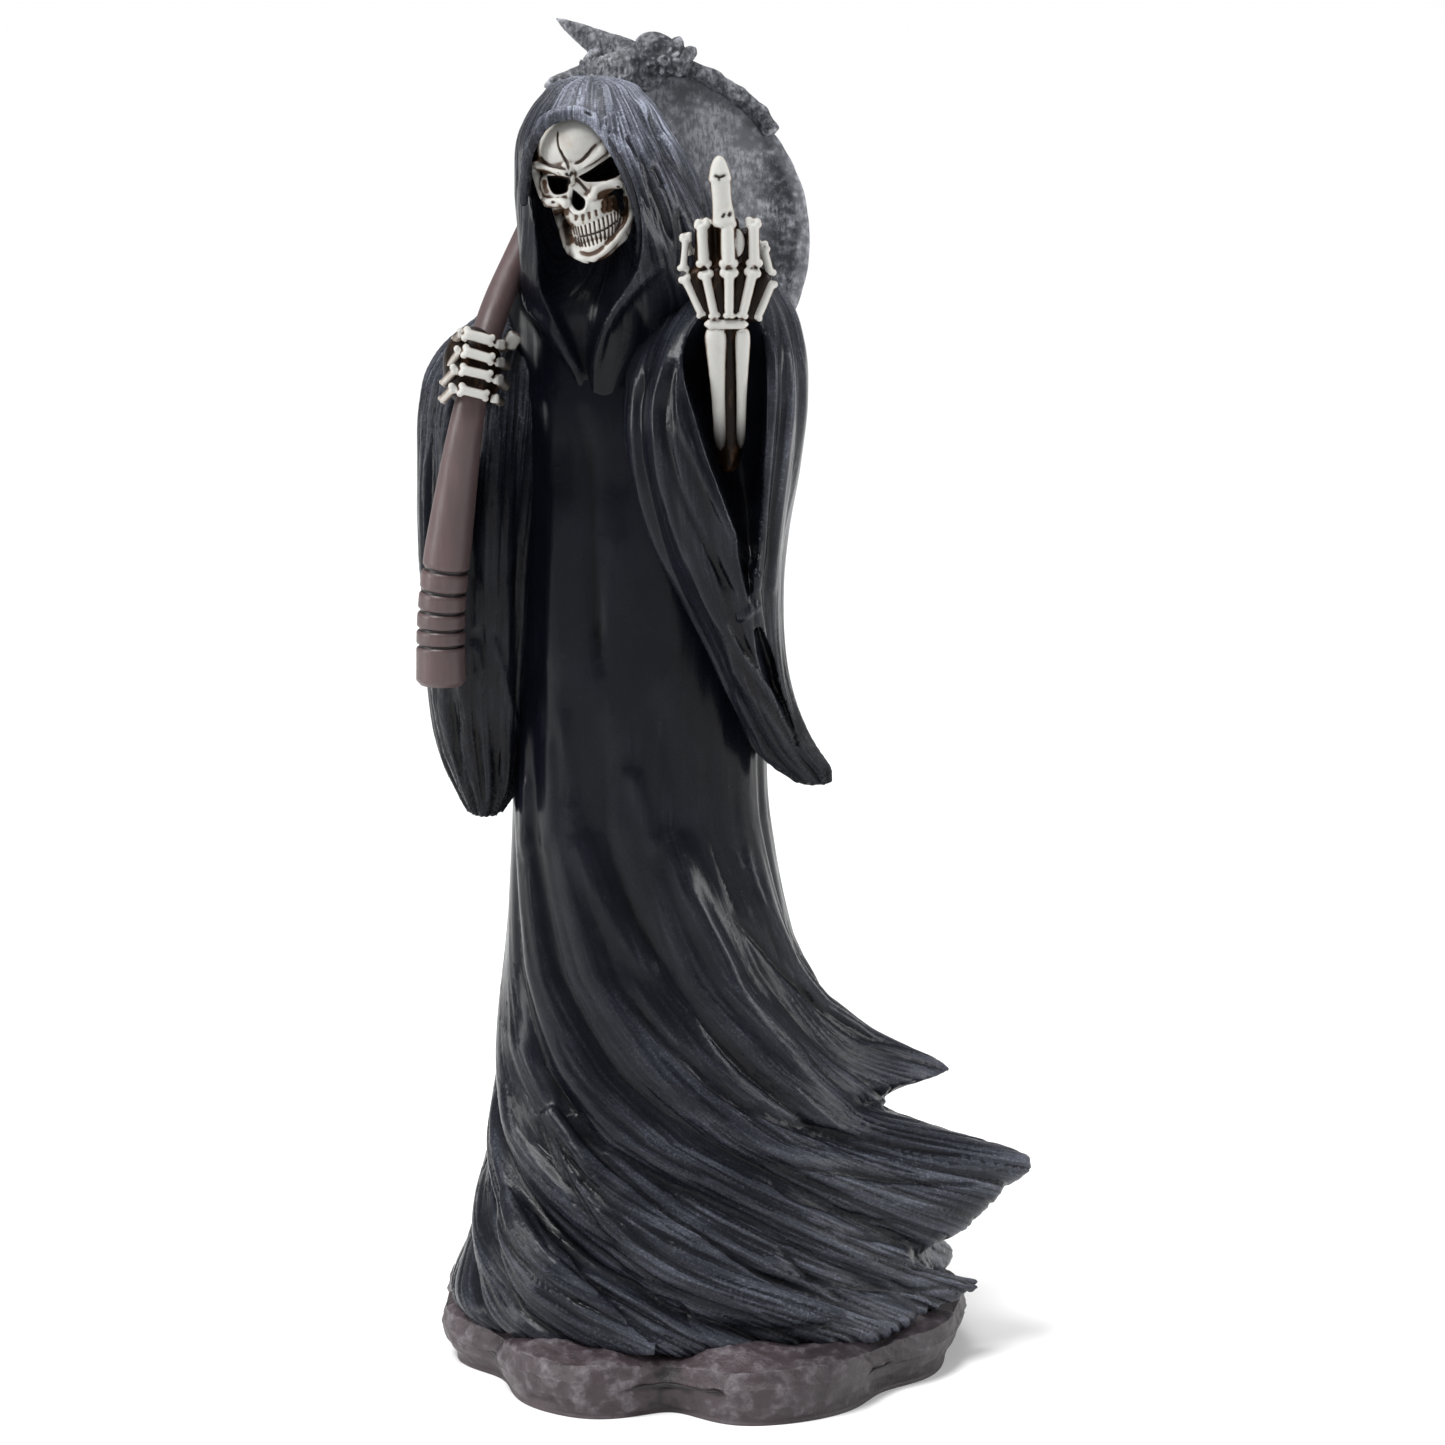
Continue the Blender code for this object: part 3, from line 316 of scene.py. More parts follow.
GRIP_CARVING = (
    (((-48.2, 181.6), (-48.1, 173.5), (-48.7, 169.4)), 0.8, 0.6),
    (((-49.1, 168.6), (-47.6, 161.3), (-47.3, 155.6)), 1.2, 0.7),
    (((-44.7, 169.4), (-42.8, 160.4), (-40.9, 152.3), (-39.7, 147.0)), 0.8, 0.7),
    (((-57.7, 157.2), (-56.2, 149.0), (-55.1, 139.2)), 1.0, 0.5),
    (((-51.7, 150.7), (-51.0, 141.6), (-49.9, 132.6)), 1.0, 0.6),
    (((-54.1, 155.6), (-53.0, 144.9), (-52.3, 137.5)), 0.8, -0.6),
    (((-48.9, 149.0), (-47.8, 138.4), (-47.1, 131.0)), 0.8, -0.5),
    (((-44.9, 144.9), (-44.0, 138.4), (-43.4, 132.6)), 0.8, -0.5),
    (((-58.3, 213.7), (-59.5, 200.9), (-59.3, 189.6), (-59.8, 181.6)), 1.0, 0.5),
)

# Raised hand, seen from its back: start and end of each bone, then its width at waist, start and end
METACARPALS = (
    ((0.6, -46.8, 239.9), (-2.9, -47.0, 247.5), 1.75, 2.4, 3.0),
    ((3.3, -48.0, 239.8), (1.5, -49.3, 248.5), 2.0, 2.6, 3.5),
    ((6.4, -48.4, 239.8), (6.4, -50.0, 248.9), 2.2, 2.6, 4.0),
    ((9.2, -48.0, 239.8), (11.3, -49.3, 248.9), 2.2, 2.6, 3.7),
    ((12.2, -45.6, 239.2), (15.2, -45.2, 246.4), 2.3, 2.6, 3.1),
)
FINGERS = (
    ((-3.2, -47.2, 249.6), (-2.7, -47.6, 255.8), 1.5, 2.7, 2.8),
    ((1.1, -49.4, 250.8), (0.7, -50.0, 258.8), 2.6, 3.4, 3.4),
    ((6.3, -50.1, 250.9), (6.0, -50.4, 259.0), 3.3, 4.1, 3.9),
    ((11.7, -49.4, 250.9), (11.5, -50.0, 259.0), 2.5, 3.6, 3.4),
    ((15.0, -45.0, 248.4), (13.7, -45.4, 253.4), 1.9, 2.9, 2.8),
)
FOLDED = (
    ((-2.7, -47.4, 256.4), (-1.8, -42.0, 252.6), 1.5, 2.8, 2.6),
    ((0.8, -49.6, 259.4), (1.6, -42.0, 254.6), 2.0, 3.4, 3.0),
    ((11.4, -49.6, 259.6), (10.6, -42.0, 254.6), 2.0, 3.4, 3.0),
    ((13.6, -45.2, 254.0), (10.4, -43.0, 256.0), 1.9, 2.8, 2.6),
)
# Finger that points up: start and end of each bone, then its radius at start, middle and end
UPRIGHT = (
    ((5.3, -50.2, 259.6), (4.5, -50.4, 268.8), 3.0, 2.15, 2.55),
    ((4.5, -50.3, 268.6), (4.2, -49.8, 273.8), 2.55, 2.1, 0.8),
)
# Strokes for its nail and the creases of its knuckle, carved and painted near-black as shade
NAIL = (
    (((3.0, 268.2), (4.4, 267.8), (5.8, 268.2)), 0.35, -0.6),
    (((4.2, 267.9), (4.3, 267.4), (4.35, 266.9)), 0.35, -0.3),
    (((4.9, 259.8), (5.2, 259.6), (5.5, 259.4)), 0.5, -0.6),
    (((6.2, 260.1), (6.6, 259.9), (7.0, 259.7)), 0.55, -0.6),
)
# A lump between the fingers: centre and radii. Then the wrist's row: start, end and radius
SPLASH = ((8.0, -49.4, 255.1), (1.7, 1.2, 3.0))
CARPALS = ((1.6, -47.0, 237.9), (10.0, -47.0, 237.9), 1.15)
# The forearm's two bones, in rows like those of the finger that points up
FOREARM = (
    ((3.5, -46.4, 236.6), (4.6, -36.0, 210.0), 2.9, 1.6, 1.5),
    ((9.3, -46.2, 236.6), (8.9, -36.0, 210.4), 2.0, 1.2, 1.1),
)

# The dark webs: between the forearm's bones by start and end, then behind each palm by centre and radii
FOREARM_WEB = ((6.4, -43.4, 241), (6.4, -32, 206))
PALM_WEB = ((6.2, -43.6, 248), (7.4, 2.6, 8.6))
GRIP_WEB = ((-49, -24.7, 226.5), (6.4, 6.6, 9))

# Gripping hand: for each finger, its bone behind the knuckle, then the one in front of the shaft
GRIP_KNUCKLES = (
    ((-52.4, -25.5, 232.6), (-50.6, -32.0, 234.8), 2.0, 2.4, 2.6),
    ((-54.2, -26.5, 226.6), (-51.2, -32.8, 231.0), 1.7, 2.0, 2.9),
    ((-55.2, -27.0, 223.4), (-52.1, -33.2, 227.0), 1.8, 2.0, 3.0),
    ((-55.4, -27.5, 219.9), (-52.5, -33.2, 223.0), 2.0, 2.2, 2.9),
)
GRIP_FINGERS = (
    ((-49.8, -33.4, 234.7), (-44.4, -33.2, 233.2), 2.6, 3.4, 2.8),
    ((-50.0, -34.0, 231.0), (-44.4, -33.8, 229.3), 2.4, 3.2, 2.9),
    ((-50.6, -34.2, 227.1), (-44.8, -34.0, 225.7), 2.3, 3.0, 2.8),
    ((-50.9, -34.0, 222.8), (-45.6, -33.8, 221.5), 2.2, 3.2, 2.7),
)
GRIP_TIPS = (
    ((-42.6, -32.6, 232.4), (-41.6, -28.0, 231.0), 2.2, 2.6, 2.2),
    ((-42.6, -33.0, 228.6), (-41.4, -28.6, 227.2), 2.2, 2.6, 2.2),
    ((-43.0, -33.4, 225.0), (-41.6, -29.4, 223.0), 2.4, 2.8, 2.4),
    ((-43.8, -33.0, 220.8), (-42.6, -28.8, 219.6), 2.0, 2.4, 2.2),
)
GRIP_THUMB = ((-40.7, -29.4, 232.0), (-39.5, -29.8, 233.8), 1.7)

# Scythe: the shaft's line from its butt to its socket
SHAFT = (
    (-56.5, -24.6, 157.3),
    (-56.1, -24.8, 174.8),
    (-53.0, -26, 198.1),
    (-49.4, -27.6, 218.7),
    (-45.2, -20, 236),
    (-39.8, -6, 249),
    (-31.5, 9, 266),
    (-23, 18, 281),
    (-14, 19.5, 290),
)
# How far from the butt its first turned groove is
FIRST_RING = 10.3
# Crescent: its centre, where its sweep starts and ends, and half its thickness
BLADE_CENTRE = (-14.0, 20.0, 251.4)
BLADE_FROM, BLADE_TO = math.radians(108), math.radians(-44)
BLADE_HALF_THICKNESS = 2.6
# Scythe head: the spike's root, direction and length, then the lump, neck and barb at its root
SPIKE_ROOT = (-15.8, 18.5, 290.8)
SPIKE_DIRECTION = (-15.6, 1.5, 9.0)
SPIKE_LENGTH = 21.2
SPIKE_LUMP = ((-12.5, 18.5, 289.5), (6, 5, 5.6))
SPIKE_NECK = ((-34.0, 12, 285.6), (-16, 16, 290))
SPIKE_BARB = ((-25.5, 15, 287), (-22.5, 18, 294.5))
HEAD_LUMPS = (((-9.5, 16, 292.6), (5.2, 3.6, 4.2)), ((-10.6, 16, 294.6), (4.0, 3.0, 2.9)))
# The ridge on the blade by x and z, the lean and length of each point of the crown, and the rosette
RIDGE_DEPTH = 17
BLADE_RIDGE = ((-12, 289), (-4, 289.6), (2.5, 287.2), (8.5, 283.2), (13.2, 279.4), (15.6, 275.6))
CROWN_POINTS = ((-0.55, 6.2), (-0.1, 7.8), (0.35, 7.4), (0.8, 6.6))
BINDINGS = 9
ROSETTE_EYE = (-8.0, 12.3, 291.2)
ROSETTE_PETALS = 11

# Skull: where the middle of its brow's level is, and how it nods, leans and turns
SKULL_PLACE = (-24.3, -22.8, 270.9)
SKULL_TURN = Euler((math.radians(6), math.radians(-16), math.radians(-18)), "XYZ")
# The skull in its own frame: centre and radii of its round parts, then its chin, and the nose's bridge
SKULL_BALLS = (
    ((0.5, 1.5, 2.6), (9.9, 13.2, 9.6)),
    ((0.5, -2.2, 3.4), (9.8, 11.0, 9.4)),
    ((0, -7.0, -2.6), (8.9, 5.6, 5.4)),
    ((0.6, -7.4, -9.6), (6.0, 5.7, 4.6)),
    ((0.9, -7.2, -13.8), (6.1, 5.6, 4.4)),
)
SKULL_CHIN = ((0.6, -10.6, -18.0), (4.2, 3.0, 2.4))
SKULL_NOSE = ((0, -12.4, 1.0), (0, -13.8, -3.0), 1.3)
# Bones on each side, given for its left: the brow, the cheek, then the arch, socket edge and jaw
BROW_ROD = ((0.5, -12.4, 0.2), (8.8, -8.4, 2.9))
CHEEK_ROD = ((2.4, -11.7, -7.2), (8.4, -8.2, -5.6))
SIDE_RODS = (
    ((8.6, -8.2, -5.2), (9.6, 1.0, -3.4), 1.1),
    ((8.9, -8.0, -4.6), (9.2, -7.4, 3.4), 0.9),
    ((8.8, -1.0, -5.0), (7.8, -4.0, -12.6), 1.5),
    ((7.8, -4.0, -12.6), (6.2, -8.4, -16.4), 1.5),
    ((6.2, -8.4, -16.4), (1.6, -11.2, -18.6), 1.7),
)
# Strokes on the skull: raised bone, thin cracks, and washes of brown
SKULL_BROWS = (
    (((-36.1, 270.6), (-32.7, 270.1), (-30.2, 269.3), (-27.9, 268.3)), 0.75, 1.0),
    (((-27.1, 268.7), (-24.7, 270.1), (-22.2, 272.0), (-19.5, 274.3)), 0.8, 1.1),
    (((-33.1, 262.0), (-31.8, 262.8), (-30.2, 263.0), (-28.8, 262.4), (-27.8, 260.9)), 0.8, 0.9),
    (((-23.2, 264.3), (-21.8, 265.5), (-19.9, 266.3), (-17.8, 266.4), (-15.2, 265.5)), 0.85, 0.9),
    (((-34.8, 268.8), (-33.7, 266.9), (-33.1, 264.7), (-33.4, 262.5)), 0.8, 0.5),
    (((-27.5, 265.5), (-27.7, 263.8), (-27.5, 262.0), (-26.4, 260.2), (-24.4, 260.5),
     (-23.8, 262.8)), 0.4, 0.5),
    (((-14.8, 262.5), (-14.6, 259.9), (-15.7, 257.1), (-17.8, 254.3), (-20.0, 252.2),
     (-23, 250.4)), 0.6, 0.8),
    (((-27.2, 253.1), (-26.5, 251.4), (-25.0, 250.3), (-23.3, 249.9), (-21.3, 250.5)), 0.8, 0.7),
)
SKULL_CRACKS = (
    (((-34.0, 272.3), (-33.0, 270.9), (-31.4, 270.1), (-29.2, 269.7), (-28, 269.2)), 0.28, -0.35),
    (((-26.8, 270.4), (-25.1, 271.2), (-23.7, 272.6), (-21.7, 275.0)), 0.28, -0.35),
    (((-27.6, 268.9), (-28.1, 270.7), (-29.0, 272.3), (-29.8, 273.9)), 0.26, -0.35),
    (((-29.0, 272.3), (-29.8, 273.9), (-30.1, 275.8), (-30.0, 277.7)), 0.17, -0.2),
    (((-28.5, 268.8), (-27.6, 267.9), (-26.8, 269.0)), 0.35, -0.5),
    (((-27.9, 268.0), (-27.6, 267.0), (-27.4, 266.2)), 0.4, -0.4),
    (((-26.2, 267.6), (-25.2, 266.4), (-23.8, 264.7)), 0.28, -0.4),
    (((-31.6, 262.4), (-31.2, 262.4), (-30.8, 262.3)), 0.22, -0.4),
    (((-17.6, 265.7), (-17.2, 265.6), (-16.7, 265.5)), 0.22, -0.4),
)
SKULL_STAINS = (
    (((-32.9, 260.5), (-31.2, 260.1), (-29.3, 260.5), (-28.2, 259.3)), 0.8, -0.5),
    (((-22.0, 263.3), (-20.3, 264.3), (-18.1, 264.6), (-15.8, 264.3)), 0.7, -0.4),
    (((-20.3, 263.0), (-20.2, 261.6), (-20.4, 260.2)), 0.5, -0.5),
    (((-18.9, 263.6), (-18.9, 261.9), (-19.3, 260.0)), 0.6, -0.9),
    (((-17.3, 263.9), (-17.4, 262.1), (-18.0, 260.4)), 0.7, -1.0),
    (((-16.0, 264.0), (-15.9, 262.0), (-16.4, 259.6)), 0.6, -0.9),
    (((-28.8, 259.8), (-28.4, 257.4), (-28.1, 254.9), (-27.7, 252.6)), 0.8, -0.3),
    (((-32.9, 267.6), (-32.9, 265.7), (-32.4, 264.1)), 0.6, -0.2),
    (((-16.2, 271.8), (-15.6, 269.5), (-16.0, 267.2)), 0.7, -0.2),
    (((-25.7, 252.2), (-23.9, 251.4), (-21.8, 251.9), (-20.0, 253.3)), 0.45, -0.3),
    (((-16.6, 257.6), (-18.2, 255.2), (-20.4, 253.2)), 0.5, -0.4),
    (((-26.1, 260), (-26.3, 258.4)), 0.3, -0.3),
    (((-24.8, 260.2), (-24.7, 258.4)), 0.3, -0.3),
    (((-23.5, 260.6), (-23.3, 258.8)), 0.3, -0.3),
    (((-22.1, 261.0), (-21.8, 259.4)), 0.3, -0.3),
    (((-20.8, 261.4), (-20.4, 260.0)), 0.3, -0.3),
    # The last two, at the top of the skull along the hood's rim, are painted shade from the hood
    (((-36.2, 272), (-36.4, 276), (-34.5, 280.5)), 1.1, 0),
    (((-18.9, 275.5), (-20.2, 278.6), (-23.2, 281.0)), 0.8, 0),
)
# The holes of the face, painted near-black as shade: each outline as the camera sees it, and how far back it
# goes
SKULL_HOLES = (
    (
        ((-32.7, 268.3), (-30.2, 268.1), (-27.8, 267.4), (-27.8, 266.0), (-28.1, 264.6),
         (-29.6, 264.0), (-31.1, 264.1), (-32.1, 265.7)),
        -24.0,
    ),
    (
        ((-25.6, 267.9), (-23.2, 269.2), (-20.6, 271.0), (-18.4, 272.4), (-17.3, 271.2),
         (-16.7, 269.1), (-16.9, 268.1), (-19.2, 267.2), (-21.9, 266.8), (-24.1, 266.9)),
        -24.0,
    ),
    (((-27.0, 265.5), (-25.6, 264.4), (-24.2, 262.9), (-24.5, 261.1), (-26.0, 260.6),
     (-27.3, 262.2)), -28.0),
)
# Points along the rolled edge of the hood round the face
HOOD_RIM = (
    (-37.4, -30.5, 262),
    (-36.6, -33, 271.5),
    (-33.6, -34.5, 278.4),
    (-29.5, -34.8, 281.2),
    (-24.6, -34.8, 281.2),
    (-20.4, -35.2, 278.0),
    (-17.0, -35.5, 272.3),
    (-14.2, -34.5, 265.5),
    (-12.4, -32, 258),
    (-12.8, -29.5, 250.5),
    (-15.5, -26.5, 243),
)
# Outlines of the painted brown shade on the cheek and the painted black shadow beside the jaw, as the camera
# sees them
CHEEK_SHADE = (
    (-20.3, 263.8),
    (-16.8, 264.1),
    (-15.0, 263.4),
    (-14.8, 259.9),
    (-15.7, 257.4),
    (-17.2, 256.1),
    (-16.3, 259.3),
    (-16.6, 260.9),
    (-18.6, 260.5),
    (-20.3, 259.9),
    (-21.0, 261.9),
)
JAW_SHADE = (
    (-34.7, 260.9),
    (-32.1, 260.5),
    (-28.6, 259.6),
    (-27.6, 256.8),
    (-27.3, 253.3),
    (-26.5, 250.7),
    (-29.7, 249.2),
    (-33.8, 253.6),
)
# The top of the upper teeth, the bite, and the foot of the lower teeth, as the camera sees them
GUM_LINE = ((-27.1, 257.5), (-25.6, 257.5), (-23.2, 258.3), (-20.7, 259.4), (-18.4, 260.5), (-16.7, 261.2))
BITE_LINE = ((-26.6, 255.3), (-25.1, 255.1), (-22.9, 255.6), (-20.3, 256.6), (-18.1, 257.9), (-16.6, 259.3))
LOWER_LINE = ((-26.1, 253.3), (-24.5, 252.8), (-22.3, 253.2), (-20.2, 254.2), (-18.2, 255.6), (-17.0, 257.1))

# Rock base from its foot to the middle of its top, as shares of its height and radius
ROCK_HEIGHTS = (0.0, 0.06, 0.3, 0.62, 0.9, 1.08, 1.12)
ROCK_WIDTHS = (0.93, 0.93, 0.97, 1.0, 0.985, 0.87, 0.4)
# Rock base: where each cleft between its lobes is in degrees, its depth as a share, its half width
CLEFTS = (
    (-148, 0.115, 13),
    (-97, 0.175, 11),
    (-42, 0.085, 12),
    (-8, 0.02, 12),
    (32, 0.08, 11),
    (78, 0.14, 12),
    (124, 0.09, 10),
    (178, 0.05, 12),
)


def paint_colour(name, description, default):
    """A colour that the panel shows."""
    return bpy.props.FloatVectorProperty(
        name=name, description=description, subtype="COLOR", size=3, min=0, max=1, default=default
    )


class ClothSettings(bpy.types.PropertyGroup):
    """Paint and carving of the robe, hood and sleeves."""

    colour: paint_colour("Cloth colour", "Black paint over the cloth", (0.0022, 0.0026, 0.0048))
    # The dust colour also serves as painted sheen on raised and lit cloth
    dust: paint_colour("Dust colour", "Grey dry-brushed on the raised cloth", (0.28, 0.30, 0.37))
    grain: bpy.props.FloatProperty(
        name="Grain depth", description="Depth of the torn grain along the folds",
        unit="LENGTH", min=0, max=0.001, default=0.0003,
    )
    strand: bpy.props.FloatProperty(
        name="Strand depth", description="Depth of the carved strands near the hem",
        unit="LENGTH", min=0, max=0.002, default=0.00028,
    )


class BoneSettings(bpy.types.PropertyGroup):
    """Paint of the skull and hands."""

    colour: paint_colour("Bone colour", "Ivory paint over the bones", (0.38, 0.38, 0.365))
    wash: paint_colour("Wash colour", "Brown wash that stays in the hollows", (0.048, 0.024, 0.012))
    teeth: bpy.props.IntProperty(
        name="Teeth", description="Teeth across each row", min=8, max=16, default=13
    )


class ScytheSettings(bpy.types.PropertyGroup):
    """Sizes and paint of the scythe."""

    shaft_colour: paint_colour("Shaft colour", "Dark brown paint of the shaft", (0.020, 0.008, 0.009))
    blade_colour: paint_colour(
        "Blade colour", "Dark grey paint under the blade's mottling", (0.016, 0.018, 0.023)
    )
    silver: paint_colour("Silver colour", "Light grey dry-brushed on the scythe's head", (0.30, 0.31, 0.34))
    shaft_radius: bpy.props.FloatProperty(
        name="Shaft radius", description="Radius where the hand holds it",
        unit="LENGTH", min=0.002, max=0.006, default=0.0033,
    )
    butt_radius: bpy.props.FloatProperty(
        name="Butt radius", description="Radius of the thick lower end",
        unit="LENGTH", min=0.003, max=0.009, default=0.0055,
    )
    ring_pitch: bpy.props.FloatProperty(
        name="Ring pitch", description="Distance between the turned grooves",
        unit="LENGTH", min=0.002, max=0.008, default=0.0041,
    )
    ring_count: bpy.props.IntProperty(
        name="Rings", description="Turned grooves above the butt", min=0, max=9, default=5
    )
    blade_width: bpy.props.FloatProperty(
        name="Blade width", description="Across the crescent at its widest",
        unit="LENGTH", min=0.01, max=0.03, default=0.023,
    )
    sweep_radius: bpy.props.FloatProperty(
        name="Sweep radius", description="Radius of the crescent's outer edge",
        unit="LENGTH", min=0.02, max=0.05, default=0.0386,
    )


class RockSettings(bpy.types.PropertyGroup):
    """Paint and carving of the rock base."""

    colour: paint_colour("Rock colour", "Purplish brown paint of the rock", (0.034, 0.024, 0.028))
    dust: paint_colour("Rock dust", "Grey dry-brushed on the rock's edges", (0.22, 0.20, 0.22))
    roughness_depth: bpy.props.FloatProperty(
        name="Rock relief", description="How far the rock's bumps stand out",
        unit="LENGTH", min=0, max=0.003, default=0.0010,
    )


class StudioSettings(bpy.types.PropertyGroup):
    """Floor and light."""

    floor_colour: paint_colour("Floor colour", "Pale floor", (0.92, 0.92, 0.92))
    sky: bpy.props.FloatProperty(
        name="Sky strength", description="Even light from all round", min=0, max=3, default=0.32
    )
    sun: bpy.props.FloatProperty(
        name="Key strength", description="Soft key light", min=0, max=10, default=2.9
    )


def curve_through(values, xs, x):
    """Reads a smooth curve through rows of values, given at rising xs, at each x."""
    xs = np.asarray(xs, float)
    values = np.asarray(values, float)
    slopes = np.gradient(values, xs, axis=0)
    i = np.clip(np.searchsorted(xs, x) - 1, 0, len(xs) - 2)
    width = xs[i + 1] - xs[i]
    s = ((x - xs[i]) / width)[:, None]
    width = width[:, None]
    a, b = values[i], values[i + 1]
    return (
        a * (2 * s**3 - 3 * s**2 + 1)
        + b * (3 * s**2 - 2 * s**3)
        + slopes[i] * width * (s**3 - 2 * s**2 + s)
        + slopes[i + 1] * width * (s**3 - s**2)
    )


def bezier(points, t):
    """Points and directions of a cubic Bezier curve at each t."""
    p = [np.array(q, float) for q in points]
    t = t[:, None]
    u = 1 - t
    place = u**3 * p[0] + 3 * u**2 * t * p[1] + 3 * u * t**2 * p[2] + t**3 * p[3]
    along = u**2 * (p[1] - p[0]) + 2 * u * t * (p[2] - p[1]) + t**2 * (p[3] - p[2])
    return place, along / np.linalg.norm(along, axis=1, keepdims=True)


def smooth_step(low, high, value):
    """0 below low, 1 above high, and smooth between them."""
    s = np.clip((value - low) / (high - low), 0, 1)
    return s * s * (3 - 2 * s)


def noise_at(points, scale):
    """Smooth noise from -1 to 1 at each point, with its bumps 1 / scale apart."""
    return np.array([noise.noise(p) for p in (np.asarray(points) * scale).tolist()])


def points_of(mesh):
    """Every vertex's place as rows of an array."""
    points = np.empty(len(mesh.vertices) * 3)
    mesh.vertices.foreach_get("co", points)
    return points.reshape(-1, 3)


def normals_of(mesh):
    """Every vertex's normal as rows of an array."""
    normals = np.empty(len(mesh.vertices) * 3)
    mesh.vertex_normals.foreach_get("vector", normals)
    return normals.reshape(-1, 3)


def move_points(mesh, points):
    """Puts every vertex where the rows say."""
    mesh.vertices.foreach_set("co", np.ascontiguousarray(points).ravel())
    mesh.update()


def store(mesh, name, values):
    """Keeps a number, or a row of three, for each vertex."""
    values = np.asarray(values, float)
    kind = "FLOAT" if values.ndim == 1 else "FLOAT_VECTOR"
    layer = mesh.attributes.new(name, kind, "POINT")
    layer.data.foreach_set("value" if values.ndim == 1 else "vector", values.ravel())


def tube_mesh(sides, rows, place):
    """A capped tube whose vertices place(share along it, angle round it) puts where they belong."""
    bm = bmesh.new()
    bmesh.ops.create_cone(bm, cap_ends=True, segments=sides, radius1=1, radius2=1, depth=1)
    uprights = [e for e in bm.edges if abs(e.verts[0].co.z - e.verts[1].co.z) > 0.5]
    bmesh.ops.subdivide_edges(bm, edges=uprights, cuts=rows - 1, use_grid_fill=True)
    unit = np.array([v.co for v in bm.verts])
    placed = place(unit[:, 2] + 0.5, np.arctan2(unit[:, 1], unit[:, 0]))
    for vert, co in zip(bm.verts, placed):
        vert.co = co
    bmesh.ops.recalc_face_normals(bm, faces=bm.faces)
    mesh = bpy.data.meshes.new("tube")
    bm.to_mesh(mesh)
    bm.free()
    return mesh


def ball_mesh(centre, radii, turn=Euler((0, 0, 0)), segments=24):
    """An ellipsoid."""
    bm = bmesh.new()
    size = Matrix.Diagonal((*radii, 1))
    place = Matrix.Translation(centre) @ turn.to_matrix().to_4x4() @ size
    bmesh.ops.create_uvsphere(bm, u_segments=segments, v_segments=segments // 2, radius=1, matrix=place)
    mesh = bpy.data.meshes.new("ball")
    bm.to_mesh(mesh)
    bm.free()
    return mesh


def rod_mesh(start, end, radius_of, sides=16, rows=12, flat=1.0):
    """A round-ended rod from start to end, with its radius given along it and its depth flattened."""
    start, end = np.array(start, float), np.array(end, float)
    along = end - start
    length = np.linalg.norm(along)
    along = along / length
    side = np.cross(along, (0.0, 1.0, 0.0))
    side = side / np.linalg.norm(side)
    depth = np.cross(along, side)

    def place(t, angle):
        swell = radius_of(t)
        cap = np.sqrt(np.clip(1 - (2 * t - 1) ** 8, 0.02, 1))
        r = (swell * cap)[:, None]
        ring = np.cos(angle)[:, None] * side + np.sin(angle)[:, None] * depth * flat
        reach = (t * (length + radius_of(np.ones(1))[0]) - radius_of(np.zeros(1))[0] * 0.5)[:, None]
        return start + reach * along + r * ring

    return tube_mesh(sides, rows, place)


def plain_rod(start, end, radius, sides=14, rows=10):
    """A round-ended rod of one radius."""
    return rod_mesh(start, end, lambda t: radius + 0 * t, sides, rows)


def bone_meshes(start, end, waist, wide_start, wide_end):
    """A long bone: a waist, and two knuckles side by side at each end, with the width given at each."""
    a, b = Vector(start), Vector(end)
    along = (b - a).normalized()
    side = along.cross(Vector((0, 1, 0))).normalized()

    def half_width(t):
        wide = np.where(t < 0.5, wide_start, wide_end)
        return 0.5 * (waist + (wide * 0.82 - waist) * np.abs(2 * t - 1) ** 2.4)

    meshes = [rod_mesh(start, end, half_width, flat=1.15)]
    for end_point, wide in ((a, wide_start), (b, wide_end)):
        for s in (-1, 1):
            centre = end_point + side * (s * wide * 0.25)
            meshes.append(ball_mesh(centre, (wide * 0.27,) * 3, segments=16))
    return meshes


def level_mesh(levels, sides, rows, relief=None, square=2.3, lobes=(), back_square=None):
    """A draped body from its levels, with relief(height, angle) standing out from it."""
    levels = np.array(sorted(levels), float)

    def place(t, angle):
        z = levels[0, 0] + t * (levels[-1, 0] - levels[0, 0])
        left, right, front, back = curve_through(levels[:, 1:], levels[:, 0], z).T
        cos, sin = np.cos(angle), np.sin(angle)
        half_x, half_y = (right - left) / 2, (back - front) / 2
        power = 2 / np.where(sin > 0, back_square or square, square)
        x = (left + right) / 2 + half_x * np.sign(cos) * np.abs(cos) ** power
        y = (front + back) / 2 + half_y * np.sign(sin) * np.abs(sin) ** power
        if relief is not None:
            nx, ny = cos / half_x, sin / half_y
            out = relief(z, angle) / np.hypot(nx, ny)
            x, y = x + nx * out, y + ny * out
        for middle, spread, lean, heights, reaches in lobes:
            off = np.degrees(angle) - middle
            reach = np.interp(z, heights, reaches, left=0, right=0) * np.exp(-((off / spread) ** 2))
            x, y = x + reach, y + reach * lean
        return np.stack([x, y, z], axis=1)

    return tube_mesh(sides, rows, place)


def ridges(angle, count, shift):
    """Round ridges with sharp valleys between them, from -1 to 1."""
    return 2 * np.abs(np.sin(angle * count / 2 + shift)) - 1


def wind_at(z):
    """How far the robe's folds have wound round by each height, in radians."""
    return np.interp(z, (8, 15, 23, 31, 46, 57, 71, 92, 125), (2.75, 2.6, 2.3, 1.95, 1.4, 1.0, 0.66, 0.3, 0))


